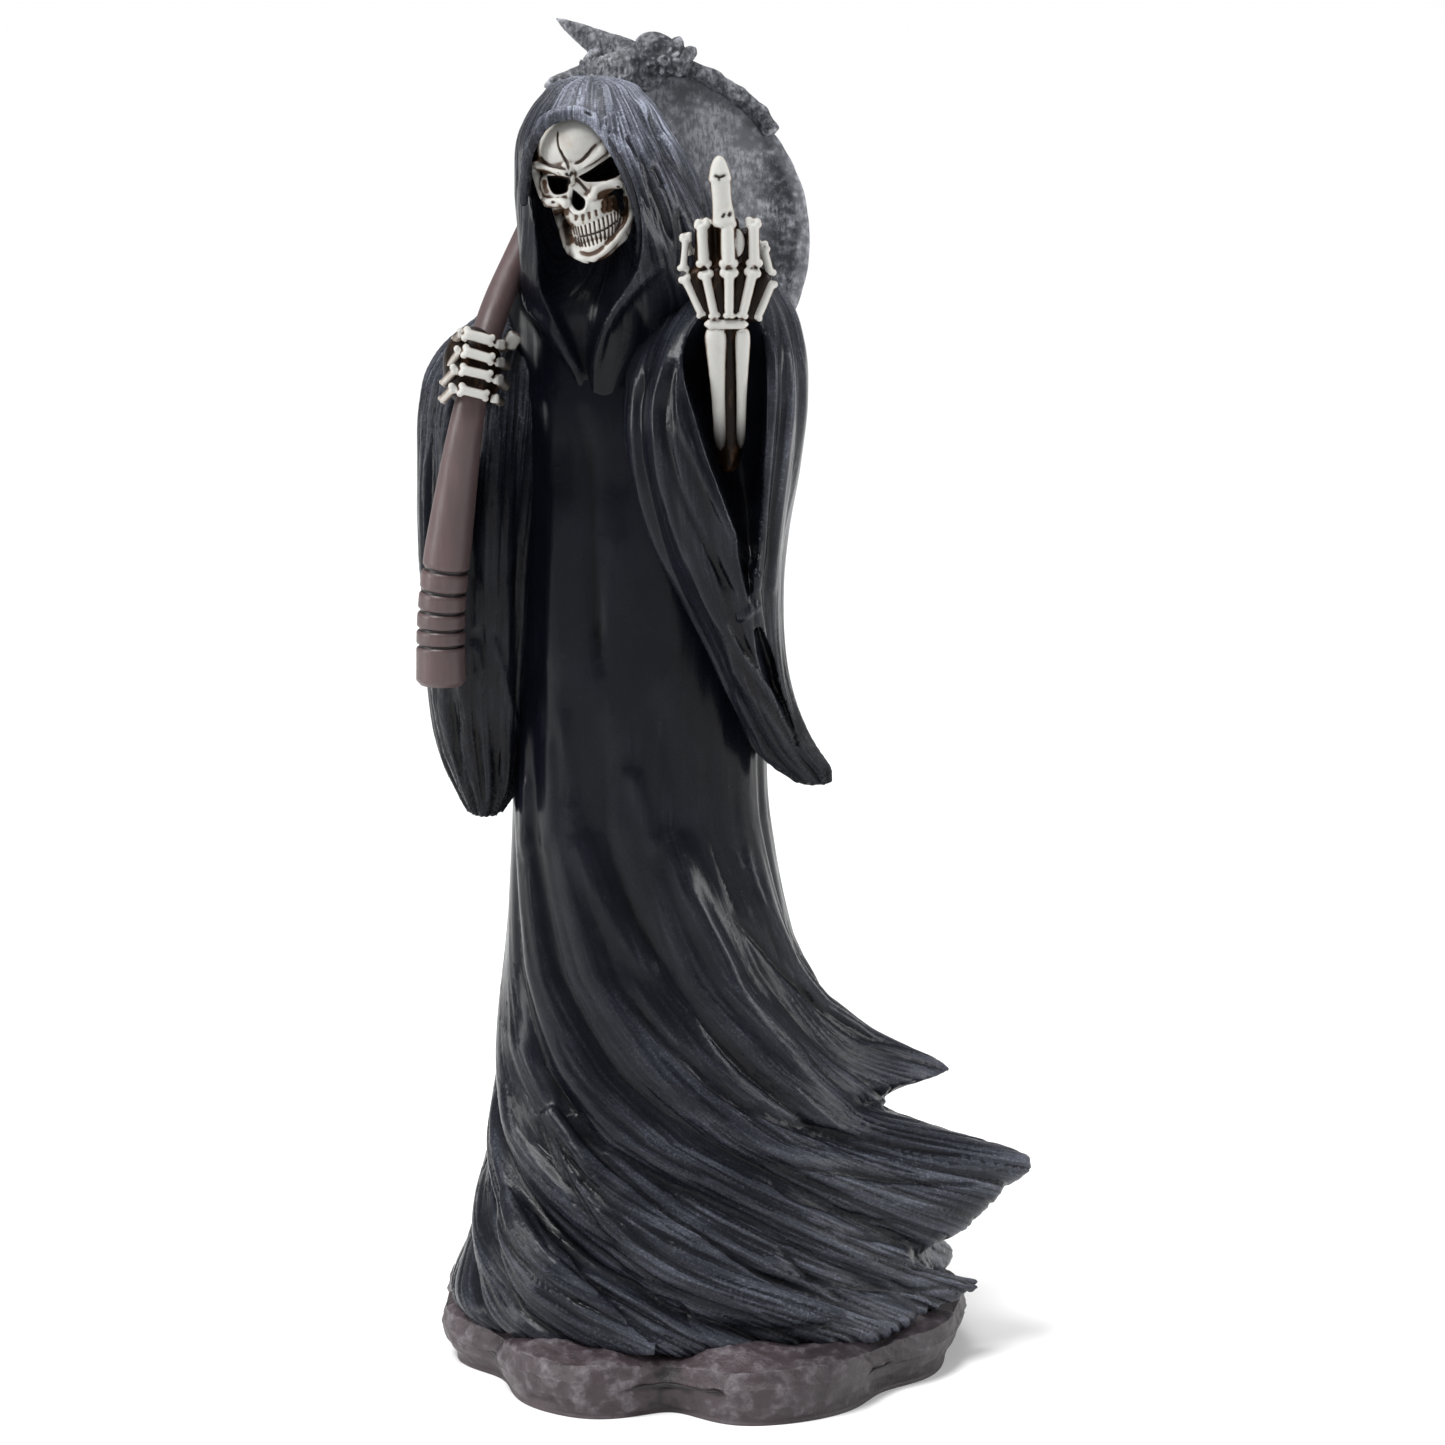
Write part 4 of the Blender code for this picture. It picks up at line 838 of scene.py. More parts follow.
def robe_relief(z, angle):
    """The robe's folds: they start upright at the waist and wind to the right towards the hem."""
    depth = np.interp(z, (8, 20, 50, 90, 130, 200, 245), (1.8, 2.3, 2.4, 1.6, 0.8, 0.4, 0.2))
    cloth = angle - wind_at(z)
    cloth = cloth + 0.10 * np.sin(3 * cloth + 0.6) + 0.06 * np.sin(5 * cloth + 1.0)
    return depth * (0.8 * ridges(cloth, 9, math.pi / 2) + 0.16 * ridges(cloth, 23, 0.9))


def sleeve_relief(z, angle):
    """Long folds down a hanging sleeve."""
    return 0.75 * ridges(angle + 0.006 * (z - 180), 9, 0.7) + 0.35 * ridges(angle, 16, 0.2)


def hood_relief(z, angle):
    """Soft creases over the hood, deeper on its sides and back."""
    depth = np.interp(z, (210, 235, 262, 280, 289), (0.3, 0.8, 0.9, 0.5, 0.0))
    return depth * ridges(angle + 0.02 * (z - 250), 8, 0.5)


def flap_mesh(spine, height, thickness):
    """A flap of the hem: it grows out of the robe, swells, and runs to a point, with folds along it."""

    def place(t, angle):
        centre, along = bezier(spine, t)
        side = np.cross(along, (0.0, 0.0, 1.0))
        side = side / np.linalg.norm(side, axis=1, keepdims=True)
        up = np.cross(side, along)
        taper = np.interp(t, (0, 0.3, 0.55, 0.8, 1), (0.15, 0.8, 1, 0.6, 0.04))
        across = np.cos(angle)
        folds = 1 + 0.20 * np.cos(3.2 * math.pi * across + 0.6) * (1 - t)
        h = (0.7 + height * taper)[:, None] * across[:, None]
        w = ((0.8 + thickness * taper) * folds * np.sin(angle))[:, None]
        return centre + up * h + side * w

    return tube_mesh(64, 70, place)


def flow_of(points, levels, wind):
    """A place along and across the folds for each point, so that grain can run with the cloth."""
    levels = np.array(sorted(levels), float)
    z = np.clip(points[:, 2], levels[0, 0], levels[-1, 0])
    left, right, front, back = curve_through(levels[:, 1:], levels[:, 0], z).T
    x = (points[:, 0] - (left + right) / 2) / (right - left)
    y = (points[:, 1] - (front + back) / 2) / (back - front)
    cloth = np.arctan2(y, x) - wind(z)
    heights = np.linspace(levels[0, 0], levels[-1, 0], 400)
    slope = np.gradient(wind(heights), heights)
    run = np.concatenate([[0], np.cumsum(np.hypot(1, WIND_REACH * slope[1:]) * np.diff(heights))])
    across = GRAIN_RADIUS * np.cos(cloth), GRAIN_RADIUS * np.sin(cloth)
    return np.stack([*across, np.interp(z, heights, run)], axis=1)


def joined(meshes):
    """One mesh that holds all the meshes, still as separate shells."""
    bm = bmesh.new()
    for mesh in meshes:
        bm.from_mesh(mesh)
        bpy.data.meshes.remove(mesh)
    whole = bpy.data.meshes.new("whole")
    bm.to_mesh(whole)
    bm.free()
    return whole


def with_modifiers(mesh, add):
    """The mesh after the modifiers that add(object) puts on it."""
    obj = bpy.data.objects.new("work", mesh)
    bpy.context.scene.collection.objects.link(obj)
    add(obj)
    bpy.context.view_layer.update()
    graph = bpy.context.evaluated_depsgraph_get()
    made = bpy.data.meshes.new_from_object(
        obj.evaluated_get(graph), preserve_all_data_layers=True, depsgraph=graph
    )
    bpy.data.objects.remove(obj)
    bpy.data.meshes.remove(mesh)
    return made


def fused(mesh, voxel, smoothing):
    """The mesh's overlapping shells as one skin, softened."""

    def add(obj):
        remesh = obj.modifiers.new("fuse", "REMESH")
        remesh.mode = "VOXEL"
        remesh.voxel_size = voxel
        if smoothing:
            smooth = obj.modifiers.new("soften", "SMOOTH")
            smooth.factor = 0.5
            smooth.iterations = smoothing

    return with_modifiers(mesh, add)


def thinned(mesh, triangles):
    """The mesh with its flat places made of fewer triangles."""
    share = triangles / (2 * len(mesh.polygons))
    if share >= 1:
        return mesh

    def add(obj):
        facets = obj.modifiers.new("thin", "DECIMATE")
        facets.ratio = share

    return with_modifiers(mesh, add)


def cut(mesh, tools):
    """The mesh less each of the tools."""
    holders = []
    for tool in tools:
        holder = bpy.data.objects.new("tool", tool)
        bpy.context.scene.collection.objects.link(holder)
        holders.append(holder)

    def add(obj):
        for holder in holders:
            boolean = obj.modifiers.new("cut", "BOOLEAN")
            boolean.operation = "DIFFERENCE"
            boolean.solver = "MANIFOLD"
            boolean.object = holder

    made = with_modifiers(mesh, add)
    for holder in holders:
        tool = holder.data
        bpy.data.objects.remove(holder)
        bpy.data.meshes.remove(tool)
    return made


def solid_shells(mesh):
    """Drops any shell that faces inwards, because the casting is solid, and any crumb."""
    bm = bmesh.new()
    bm.from_mesh(mesh)
    left = set(bm.verts)
    shells = []
    while left:
        shell = {left.pop()}
        edge = list(shell)
        while edge:
            for link in edge.pop().link_edges:
                for other in link.verts:
                    if other not in shell:
                        shell.add(other)
                        edge.append(other)
        left -= shell
        shells.append(shell)
    crumb = max(len(shell) for shell in shells) / 100
    for shell in shells:
        faces = {face for vert in shell for face in vert.link_faces}
        volume = sum(face.calc_center_median().dot(face.normal) * face.calc_area() for face in faces)
        if volume <= 0 or len(shell) < crumb:
            bmesh.ops.delete(bm, geom=list(shell), context="VERTS")
    bm.to_mesh(mesh)
    bm.free()
    return mesh


def camera_place():
    """Where the camera stands, in metres."""
    up = math.radians(CAMERA_ELEVATION)
    return Vector(CAMERA_AIM) + CAMERA_DISTANCE * Vector((0, -math.cos(up), math.sin(up)))


def seen_from_camera(mesh):
    """Where each vertex is seen on the carving plane, and how far it faces the camera, up to 1."""
    points = points_of(mesh)
    eye = np.array(camera_place()) / MM
    sight = points - eye
    seen = eye + sight * ((CARVING_DEPTH - eye[1]) / sight[:, 1])[:, None]
    facing = -(normals_of(mesh) * sight).sum(axis=1) / np.linalg.norm(sight, axis=1)
    return seen[:, [0, 2]], facing


def near_stroke(flat, path, half_width):
    """How strongly each spot lies on a stroke, from 0 to 1, and which spots were looked at."""
    path = np.array(path, float)
    line = curve_through(path, np.linspace(0, 1, len(path)), np.linspace(0, 1, 10 * len(path)))
    low = line.min(axis=0) - 3 * half_width
    high = line.max(axis=0) + 3 * half_width
    near = np.nonzero(((flat > low) & (flat < high)).all(axis=1))[0]
    flat = flat[near]
    nearest = np.full(len(near), 1e9)
    end = np.zeros(len(near))
    for a, b, s in zip(line, line[1:], np.linspace(0, 1, len(line))):
        run = b - a
        t = np.clip(((flat - a) @ run) / (run @ run), 0, 1)
        away = np.hypot(*(flat - a - t[:, None] * run).T)
        closer = away < nearest
        nearest[closer] = away[closer]
        end[closer] = s
    fade = np.clip(np.minimum(end, 1 - end) * 6, 0, 1)
    return near, np.exp(-((nearest / half_width) ** 2)) * fade


def carve(mesh, strokes):
    """Raises or sinks what faces the camera along each stroke, as a carver would."""
    points = points_of(mesh)
    normals = normals_of(mesh)
    flat, facing = seen_from_camera(mesh)
    facing = np.clip(facing * 2.5, 0, 1)
    for path, half_width, stand in strokes:
        near, bump = near_stroke(flat, path, half_width)
        points[near] += normals[near] * (stand * bump * facing[near])[:, None]
    move_points(mesh, points)


def painted(mesh, strokes, spread=1.0):
    """How much of a paint each vertex has from strokes laid as the camera sees them, from 0 to 1."""
    flat, facing = seen_from_camera(mesh)
    amount = np.zeros(len(flat))
    for path, half_width, _ in strokes:
        near, share = near_stroke(flat, path, half_width * spread)
        amount[near] = np.maximum(amount[near], share * (facing[near] > 0))
    return amount


def mark_relief(mesh, rounds):
    """Stores how deep each vertex lies below the softened surface: above 0 in hollows, below on ridges."""
    points = points_of(mesh)
    ends = np.empty(len(mesh.edges) * 2, np.int64)
    mesh.edges.foreach_get("vertices", ends)
    a, b = ends.reshape(-1, 2).T
    count = np.bincount(a, minlength=len(points)) + np.bincount(b, minlength=len(points))
    soft = points.copy()
    for _ in range(rounds):
        total = np.empty_like(soft)
        for axis in range(3):
            total[:, axis] = (
                np.bincount(a, soft[b, axis], len(points)) + np.bincount(b, soft[a, axis], len(points))
            )
        soft = 0.5 * soft + 0.5 * total / np.maximum(count, 1)[:, None]
    store(mesh, "hollow", ((soft - points) * normals_of(mesh)).sum(axis=1))


class Value:
    """A shader socket that Python's arithmetic works on."""

    def __init__(self, finish, socket):
        self.finish = finish
        self.socket = socket

    def maths(self, operation, first, second):
        return self.finish.node("ShaderNodeMath", {"operation": operation}, {0: first, 1: second})

    def __add__(self, other):
        return self.maths("ADD", self, other)

    def __radd__(self, other):
        return self.maths("ADD", other, self)

    def __sub__(self, other):
        return self.maths("SUBTRACT", self, other)

    def __rsub__(self, other):
        return self.maths("SUBTRACT", other, self)

    def __mul__(self, other):
        return self.maths("MULTIPLY", self, other)

    def __rmul__(self, other):
        return self.maths("MULTIPLY", other, self)


class Finish:
    """A painted finish: a material whose nodes are all added by one method."""

    def __init__(self, name, gloss=0.5):
        self.material = bpy.data.materials.new(name)
        self.material.use_nodes = True
        self.tree = self.material.node_tree
        self.shader = self.tree.nodes["Principled BSDF"]
        self.shader.inputs["Specular IOR Level"].default_value = gloss

    def node(self, kind, settings, sockets, output=0):
        """Adds a node: its settings first, then each socket's value or link, and gives one output."""
        node = self.tree.nodes.new(kind)
        for key, value in settings.items():
            setattr(node, key, value)
        for key, value in sockets.items():
            if isinstance(value, Value):
                self.tree.links.new(value.socket, node.inputs[key])
            else:
                node.inputs[key].default_value = value
        return Value(self, node.outputs[output])

    def feed(self, name, value):
        """Links a value to the shader."""
        self.tree.links.new(value.socket, self.shader.inputs[name])

    def number(self, name):
        """A number that the piece's mesh keeps for each vertex."""
        return self.node("ShaderNodeAttribute", {"attribute_name": name}, {}, 2)

    def row(self, name):
        """A row of three that the piece's mesh keeps for each vertex."""
        return self.node("ShaderNodeAttribute", {"attribute_name": name}, {}, 1)

    def place(self, scale=(1, 1, 1)):
        """The object's own coordinates, in metres, stretched by scale."""
        where = self.node("ShaderNodeTexCoord", {}, {}, 3)
        return self.stretched(where, scale)

    def stretched(self, where, scale):
        """Coordinates scaled along each axis."""
        return self.node("ShaderNodeMapping", {}, {"Vector": where, "Scale": scale})

    def clouds(self, where, scale, detail=4.0, rough=0.6):
        """Noise from 0 to 1."""
        sockets = {"Vector": where, "Scale": scale, "Detail": detail, "Roughness": rough}
        return self.node("ShaderNodeTexNoise", {}, sockets)

    def step(self, value, low, high):
        """0 where the value is at low, 1 where it is at high, and smooth between them."""
        settings = {"interpolation_type": "SMOOTHSTEP"}
        return self.node("ShaderNodeMapRange", settings, {0: value, 1: low, 2: high, 3: 0.0, 4: 1.0})

    def mixed(self, share, first, second, blend="MIX"):
        """Two colours mixed by a share."""
        pair = [c if isinstance(c, Value) else (*c, 1) for c in (first, second)]
        settings = {"data_type": "RGBA", "blend_type": blend}
        return self.node("ShaderNodeMix", settings, {0: share, 6: pair[0], 7: pair[1]}, 2)

    def raised(self, height, distance, under=None):
        """A bump of this height over the whole distance."""
        sockets = {"Height": height, "Distance": distance, "Strength": 1.0}
        if under is not None:
            sockets["Normal"] = under
        return self.node("ShaderNodeBump", {}, sockets)


def cloth_finish(cloth):
    """Satin black paint over torn grain, with grey dust and painted sheen on what stands out, and painted
    shade in the hollows.
    """
    finish = Finish("cloth_paint", gloss=0.15)
    flow = finish.row("flow")
    hollow = finish.number("hollow")
    torn = finish.number("torn")
    # The dust mark holds dry-brushed dust together with painted light
    dust = finish.number("dust")
    strands = finish.clouds(finish.stretched(flow, (1, 1, 0.08)), 0.75, 5, 0.65)
    threads = finish.clouds(finish.stretched(flow, (1, 1, 0.12)), 2.4, 4, 0.6)
    patches = finish.clouds(flow, 0.07, 3)
    grit = finish.clouds(finish.place(), 1800, 3, 0.6)
    crest = finish.step(hollow, 0.01, -0.09)
    worn = finish.step(strands * 0.55 + patches * 0.45, 0.44, 0.62)
    sandy = finish.step(grit, 0.50, 0.66)
    # Grey on the crests and lit faces: dry-brushed dust and painted sheen together
    dust_and_painted_light = dust * (0.25 + 0.55 * worn) * (0.30 + 0.70 * crest)
    dust_and_painted_light = dust_and_painted_light * (0.65 + 0.70 * sandy)
    dust_and_painted_light = dust_and_painted_light + finish.step(grit, 0.76, 0.80) * 0.20
    shade = finish.mixed(finish.step(patches, 0.4, 0.7) * 0.5, cloth.colour, [c * 1.8 for c in cloth.colour])
    # Painted shade: the cloth paint goes darker in its hollows
    shade = finish.mixed(finish.step(hollow, 0.02, 0.22), shade, [c * 0.3 for c in cloth.colour])
    finish.feed("Base Color", finish.mixed(dust_and_painted_light, shade, cloth.dust))
    finish.feed("Roughness", 0.17 + 0.10 * threads + 0.06 * torn + 0.35 * dust_and_painted_light)
    height = (0.03 + 0.97 * torn) * strands + (0.03 + 0.35 * torn) * threads + 0.10 * torn * grit
    finish.feed("Normal", finish.raised(height, cloth.grain))
    return finish.material


def bone_finish(bone):
    """Ivory paint with a brown wash in the hollows, and painted shade: near-black in the deepest hollows and
    brown where the surface turns from the camera.
    """
    finish = Finish("bone_paint", gloss=0.35)
    hollow = finish.number("hollow")
    # The deep mark is near-black painted shade
    deep = finish.number("deep")
    stain = finish.clouds(finish.place(), 260, 4, 0.6)
    mottle = finish.clouds(finish.place(), 900, 3, 0.6)
    # The stain mark holds laid stains and brown painted shade where the surface turns from the camera
    stain_and_painted_shade = finish.number("stain")
    wash = finish.step(hollow + 0.14 * (stain - 0.5) + 0.20 * stain_and_painted_shade, 0.005, 0.12)
    thin = finish.step(stain, 0.50, 0.72) * 0.45 * finish.step(hollow, -0.10, 0.03)
    thin = thin + stain_and_painted_shade * 0.45
    pale = [min(1.0, c * 1.12) for c in bone.colour]
    paint = finish.mixed(finish.step(hollow, 0.0, -0.10), bone.colour, pale)
    paint = finish.mixed(finish.step(mottle, 0.45, 0.8) * 0.18, paint, (0.56, 0.47, 0.34))
    paint = finish.mixed(thin, paint, (0.26, 0.17, 0.09))
    paint = finish.mixed(wash, paint, bone.wash)
    # Near-black painted shade
    paint = finish.mixed(deep, paint, (0.010, 0.008, 0.007))
    finish.feed("Base Color", paint)
    finish.feed("Roughness", 0.40 + 0.12 * mottle)
    finish.feed("Normal", finish.raised(mottle, 0.00005))
    return finish.material


def web_finish(bone):
    """Glossy dark brown between the bones."""
    finish = Finish("web_paint", gloss=0.1)
    stain = finish.clouds(finish.place((1, 1, 0.3)), 500, 4, 0.6)
    dark = [c * 0.12 for c in bone.wash]
    light = [c * 1.5 for c in bone.wash]
    finish.feed("Base Color", finish.mixed(finish.step(stain, 0.50, 0.78), dark, light))
    finish.feed("Roughness", 0.26 + 0.2 * stain)
    finish.feed("Normal", finish.raised(stain, 0.0002))
    return finish.material


def shaft_finish(scythe):
    """Satin brown streaked along its length, with a purplish painted highlight on its ridges and painted
    shade in its grooves.
    """
    finish = Finish("shaft_paint", gloss=0.35)
    hollow = finish.number("hollow")
    streak = finish.clouds(finish.place((1, 1, 0.12)), 700, 4, 0.6)
    patches = finish.clouds(finish.place(), 60, 3)
    light = [c * 2.3 for c in scythe.shaft_colour]
    paint = finish.mixed(finish.step(streak * 0.5 + patches * 0.5, 0.42, 0.68), scythe.shaft_colour, light)
    # Purplish painted highlight on the ridges
    paint = finish.mixed(finish.step(hollow, 0.0, -0.08) * 0.35, paint, (0.16, 0.12, 0.12))
    # Painted shade in the grooves
    paint = finish.mixed(finish.step(hollow, 0.01, 0.12), paint, (0.006, 0.005, 0.005))
    finish.feed("Base Color", paint)
    finish.feed("Roughness", 0.30 + 0.20 * streak)
    finish.feed("Normal", finish.raised(streak, 0.00012))
    return finish.material


def blade_finish(scythe):
    """Dark grey mottled with silver, lighter along the outer edge and on what stands out, with more silver
    towards the left as painted light and painted shade in the hollows.
    """
    finish = Finish("blade_paint", gloss=0.3)
    hollow = finish.number("hollow")
    edge = finish.number("edge")
    patches = finish.clouds(finish.place(), 75, 5, 0.65)
    fine = finish.clouds(finish.place(), 520, 5, 0.7)
    scratches = finish.clouds(finish.place((1, 1, 0.3)), 1500, 3, 0.6)
    brushed = finish.step(patches * 0.6 + fine * 0.4, 0.43, 0.68)
    brushed = brushed * finish.step(scratches, 0.30, 0.62)
    crest = finish.step(hollow, 0.005, -0.11)
    # The worn mark sets the silver wear, raised on the blade's left as painted light
    worn = finish.number("worn")
    silver = 0.75 * brushed * worn + 0.60 * crest * finish.step(fine, 0.35, 0.6) + 0.22 * edge
    # Extra silver on the blade's left: painted light
    silver = silver + 0.35 * finish.step(worn, 1.0, 1.5)
    paint = finish.mixed(silver, scythe.blade_colour, scythe.silver)
    # Painted shade in the hollows
    paint = finish.mixed(finish.step(hollow, 0.03, 0.22), paint, (0.008, 0.008, 0.009))
    finish.feed("Base Color", paint)
    finish.feed("Roughness", 0.42 + 0.22 * fine)
    finish.feed("Normal", finish.raised(fine * 0.7 + scratches * 0.3, 0.00022))
    return finish.material


def rock_finish(rock):
    """Purplish brown rock with grey dust on its edges, painted shade in its clefts, and painted shade on its
    right side.
    """
    finish = Finish("stone_paint", gloss=0.4)
    hollow = finish.number("hollow")
    patches = finish.clouds(finish.place(), 70, 4, 0.6)
    fine = finish.clouds(finish.place(), 420, 5, 0.7)
    grit = finish.clouds(finish.place(), 1500, 4, 0.65)
    dust_and_painted_light = finish.step(hollow, -0.02, -0.20) * finish.step(fine, 0.35, 0.75) * 0.50
    dust_and_painted_light = dust_and_painted_light + finish.step(grit * 0.7 + patches * 0.3, 0.60, 0.72) * 0.12
    # The shaded mark is painted shade on the rock's right side; it also thins the dust there
    shaded = finish.number("shaded")
    dust_and_painted_light = dust_and_painted_light * (1 - 0.6 * shaded)
    light = [c * 1.35 for c in rock.colour]
    paint = finish.mixed(finish.step(patches, 0.3, 0.8), rock.colour, light)
    # Painted shade on the right side
    paint = finish.mixed(0.65 * shaded, paint, (0.008, 0.006, 0.008))
    paint = finish.mixed(dust_and_painted_light, paint, rock.dust)
    # Painted shade in the clefts
    paint = finish.mixed(finish.step(hollow, 0.04, 0.35), paint, (0.012, 0.010, 0.011))
    finish.feed("Base Color", paint)
    finish.feed("Roughness", 0.34 + 0.22 * fine)
    finish.feed("Normal", finish.raised(fine * 0.6 + grit * 0.4, 0.0005))
    return finish.material


def made_piece(name, mesh, material):
    """Turns a finished mesh into a piece of the object, in metres."""
    mesh.transform(Matrix.Diagonal([MM * share for share in SHRINK] + [1.0]))
    mesh.name = name
    mesh.shade_smooth()
    mesh.materials.clear()
    mesh.materials.append(material)
    piece = bpy.data.objects.new(name, mesh)
    bpy.context.scene.collection.objects.link(piece)
    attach(piece, BODY)
    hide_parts(NODE)
    print(name, "triangles", sum(len(p.vertices) - 2 for p in mesh.polygons))
    return piece


def shared_finish(name, make, settings):
    """The finish of this name, made the first time that it is asked for."""
    return bpy.data.materials.get(name) or make(settings)


def no_wind(z):
    """Folds that don't wind."""
    return 0 * z


def cloth_piece(name, skin, levels, wind, torn, dust):
    """Finishes a cloth piece: cracks along its folds, then the marks that its paint reads."""
    cloth = bpy.context.scene.reaper_cloth
    points = points_of(skin)
    flow = flow_of(points, levels, wind)
    across = np.arctan2(flow[:, 1], flow[:, 0])
    wander = noise_at(flow * (1, 1, 0.3), 0.045)
    strand = 0.45 * ridges(across + 0.05 * wander, 61, 0.3) + 0.3 * ridges(across + 0.03 * wander, 137, 1.1)
    crack = smooth_step(0.20, 0.42, noise_at(flow * (1, 1, 0.07) + 7, 0.55))
    crack = crack + 0.7 * smooth_step(0.25, 0.45, noise_at(flow * (1, 1, 0.10) - 5, 0.9))
    depth = cloth.strand / MM * torn(points) * (strand - 2.2 * crack)
    move_points(skin, points + normals_of(skin) * depth[:, None])
    mark_relief(skin, 14)
    skin = thinned(skin, TRIANGLES[name])
    points = points_of(skin)
    store(skin, "flow", flow_of(points, levels, wind))
    store(skin, "torn", torn(points))
    # The dust mark holds dry-brushed dust and painted light together
    store(skin, "dust", dust(points, normals_of(skin)))
    made_piece(name, skin, shared_finish("cloth_paint", cloth_finish, cloth))


class REAPER_OT_robe(bpy.types.Operator):
    """Build the robe from the shoulders to the hem, with the flaps that lie on the rock"""

    bl_idname = "reaper.robe"
    bl_label = "Robe"

    def execute(self, context):
        body = level_mesh(ROBE, 420, 330, robe_relief, lobes=LOBES, back_square=2.6)
        skin = fused(joined([body] + [flap_mesh(*flap) for flap in FLAPS]), ROBE_CELL, 2)
        skin = solid_shells(skin)
        carve(skin, ROBE_CARVING + SKIRT_FOLDS + HEM_CRACKS)

        def torn(points):
            low = np.interp(points[:, 2], (15, 45, 75, 110, 140), (0.9, 0.7, 0.4, 0.15, 0.05))
            return low * (0.55 + 0.45 * smooth_step(-25, 30, points[:, 0]))

        # Dry-brushed dust, more towards the hem, with painted light in it: less on the left side and more on
        # faces that look up
        def dust(points, normals):
            low = np.interp(points[:, 2], (10, 30, 70, 110, 150, 230), (0.56, 0.42, 0.20, 0.07, 0.02, 0.01))
            side = 0.45 + 0.55 * smooth_step(-30, 5, points[:, 0])
            return low * side * (0.7 + 0.6 * np.clip(normals[:, 2], 0, 1))

        cloth_piece("robe", skin, ROBE, wind_at, torn, dust)
        return {"FINISHED"}


class REAPER_OT_hood(bpy.types.Operator):
    """Build the hood and its collar, hollow round the face and open down to the chest"""

    bl_idname = "reaper.hood"
    bl_label = "Hood"

    def execute(self, context):
        hood = level_mesh(HOOD, 220, 170, hood_relief, square=2.1, back_square=3.4)
        hood = cut(hood, [level_mesh(FACE_OPENING, 90, 80, square=2.6)])
        rim = curve_through(np.array(HOOD_RIM), np.linspace(0, 1, len(HOOD_RIM)), np.linspace(0, 1, 41))
        girths = np.interp(np.linspace(0, 1, 41), (0, 0.3, 0.6, 1), (1.0, 1.7, 1.4, 0.9))
        rolls = [plain_rod(a, b, girth) for a, b, girth in zip(rim, rim[1:], girths)]
        skin = solid_shells(fused(joined([hood] + rolls), CLOTH_CELL, 3))
        carve(skin, HOOD_CARVING)

        def torn(points):
            return np.interp(points[:, 2], (215, 250, 285), (0.05, 0.2, 0.3))

        # Dry-brushed dust with painted light in it: much more towards the top, more on the right and on faces
        # that look up, and none on the faces inside the hood round the face, which stay dark as painted shade
        def dust(points, normals):
            high = np.interp(points[:, 2], (235, 252, 268, 280), (0.03, 0.22, 0.8, 2.0))
            side = 0.35 + 0.65 * smooth_step(-34, -24, points[:, 0])
            inside = smooth_step(-0.2, 0.3, normals[:, 1]) * smooth_step(-5, -9, points[:, 1])
            return high * side * (0.55 + 0.75 * np.clip(normals[:, 2], 0, 1)) * (1 - inside)

        cloth_piece("hood", skin, HOOD, no_wind, torn, dust)
        return {"FINISHED"}


class REAPER_OT_sleeves(bpy.types.Operator):
    """Build the sleeve of the raised arm, open round the forearm, and the one behind the shaft"""

    bl_idname = "reaper.sleeves"
    bl_label = "Sleeves"

    def execute(self, context):
        raised = level_mesh(RAISED_SLEEVE, 220, 220, sleeve_relief)
        raised = cut(raised, [level_mesh(RAISED_OPENING, 60, 60), level_mesh(LOWER_FOLD, 40, 40)])
        raised = fused(raised, CLOTH_CELL, 2)
        carve(raised, SLEEVE_CARVING)

        def raised_torn(points):
            return np.interp(points[:, 2], (135, 160, 185, 240), (0.6, 0.25, 0.1, 0.08))

        # Dust, with a painted highlight band down the upper right of the sleeve, stronger on faces that look
        # up
        def raised_dust(points, normals):
            right = 0.10 + 0.35 * smooth_step(12, 20, points[:, 0]) * smooth_step(160, 200, points[:, 2])
            return right * (0.6 + 0.8 * np.clip(normals[:, 2], 0, 1))

        cloth_piece("raised_sleeve", raised, RAISED_SLEEVE, no_wind, raised_torn, raised_dust)
        grip = level_mesh(GRIP_SLEEVE, 160, 170, sleeve_relief)
        tabs = [rod_mesh(a, b, lambda t: 4.2 - 2.6 * t**2, flat=0.8) for a, b in GRIP_TABS]
        grip = solid_shells(fused(joined([grip] + tabs), CLOTH_CELL, 2))
        carve(grip, GRIP_CARVING)

        def grip_torn(points):
            return np.interp(points[:, 2], (125, 165, 205, 222), (0.7, 0.2, 0.15, 0.9))

        # Dust, more towards the top of the sleeve, with painted light on faces that look up
        def grip_dust(points, normals):
            high = np.interp(points[:, 2], (125, 150, 200, 218, 235), (0.10, 0.06, 0.08, 0.40, 0.55))
            return high * (0.6 + 0.8 * np.clip(normals[:, 2], 0, 1))

        cloth_piece("grip_sleeve", grip, GRIP_SLEEVE, no_wind, grip_torn, grip_dust)
        return {"FINISHED"}


def skull_solids():
    """The skull's bones in its own frame: facing -Y, with the level of the brow at 0."""
    solids = [ball_mesh(*ball, segments=48) for ball in SKULL_BALLS]
    solids += [ball_mesh(*SKULL_CHIN, segments=32), plain_rod(*SKULL_NOSE)]
    for s in (-1, 1):
        side = np.array((s, 1, 1))
        solids += [
            rod_mesh(*(side * BROW_ROD), lambda t: 1.2 - 0.2 * t),
            rod_mesh(*(side * CHEEK_ROD), lambda t: 1.1 + 0.2 * t),
        ]
        solids += [plain_rod(side * start, side * end, radius) for start, end, radius in SIDE_RODS]
    return solids


def closed_line(outline, shares):
    """Points along a closed outline, by their share of the way round it."""
    outline = np.array(outline + outline[:1], float)
    return curve_through(outline, np.linspace(0, 1, len(outline)), shares)


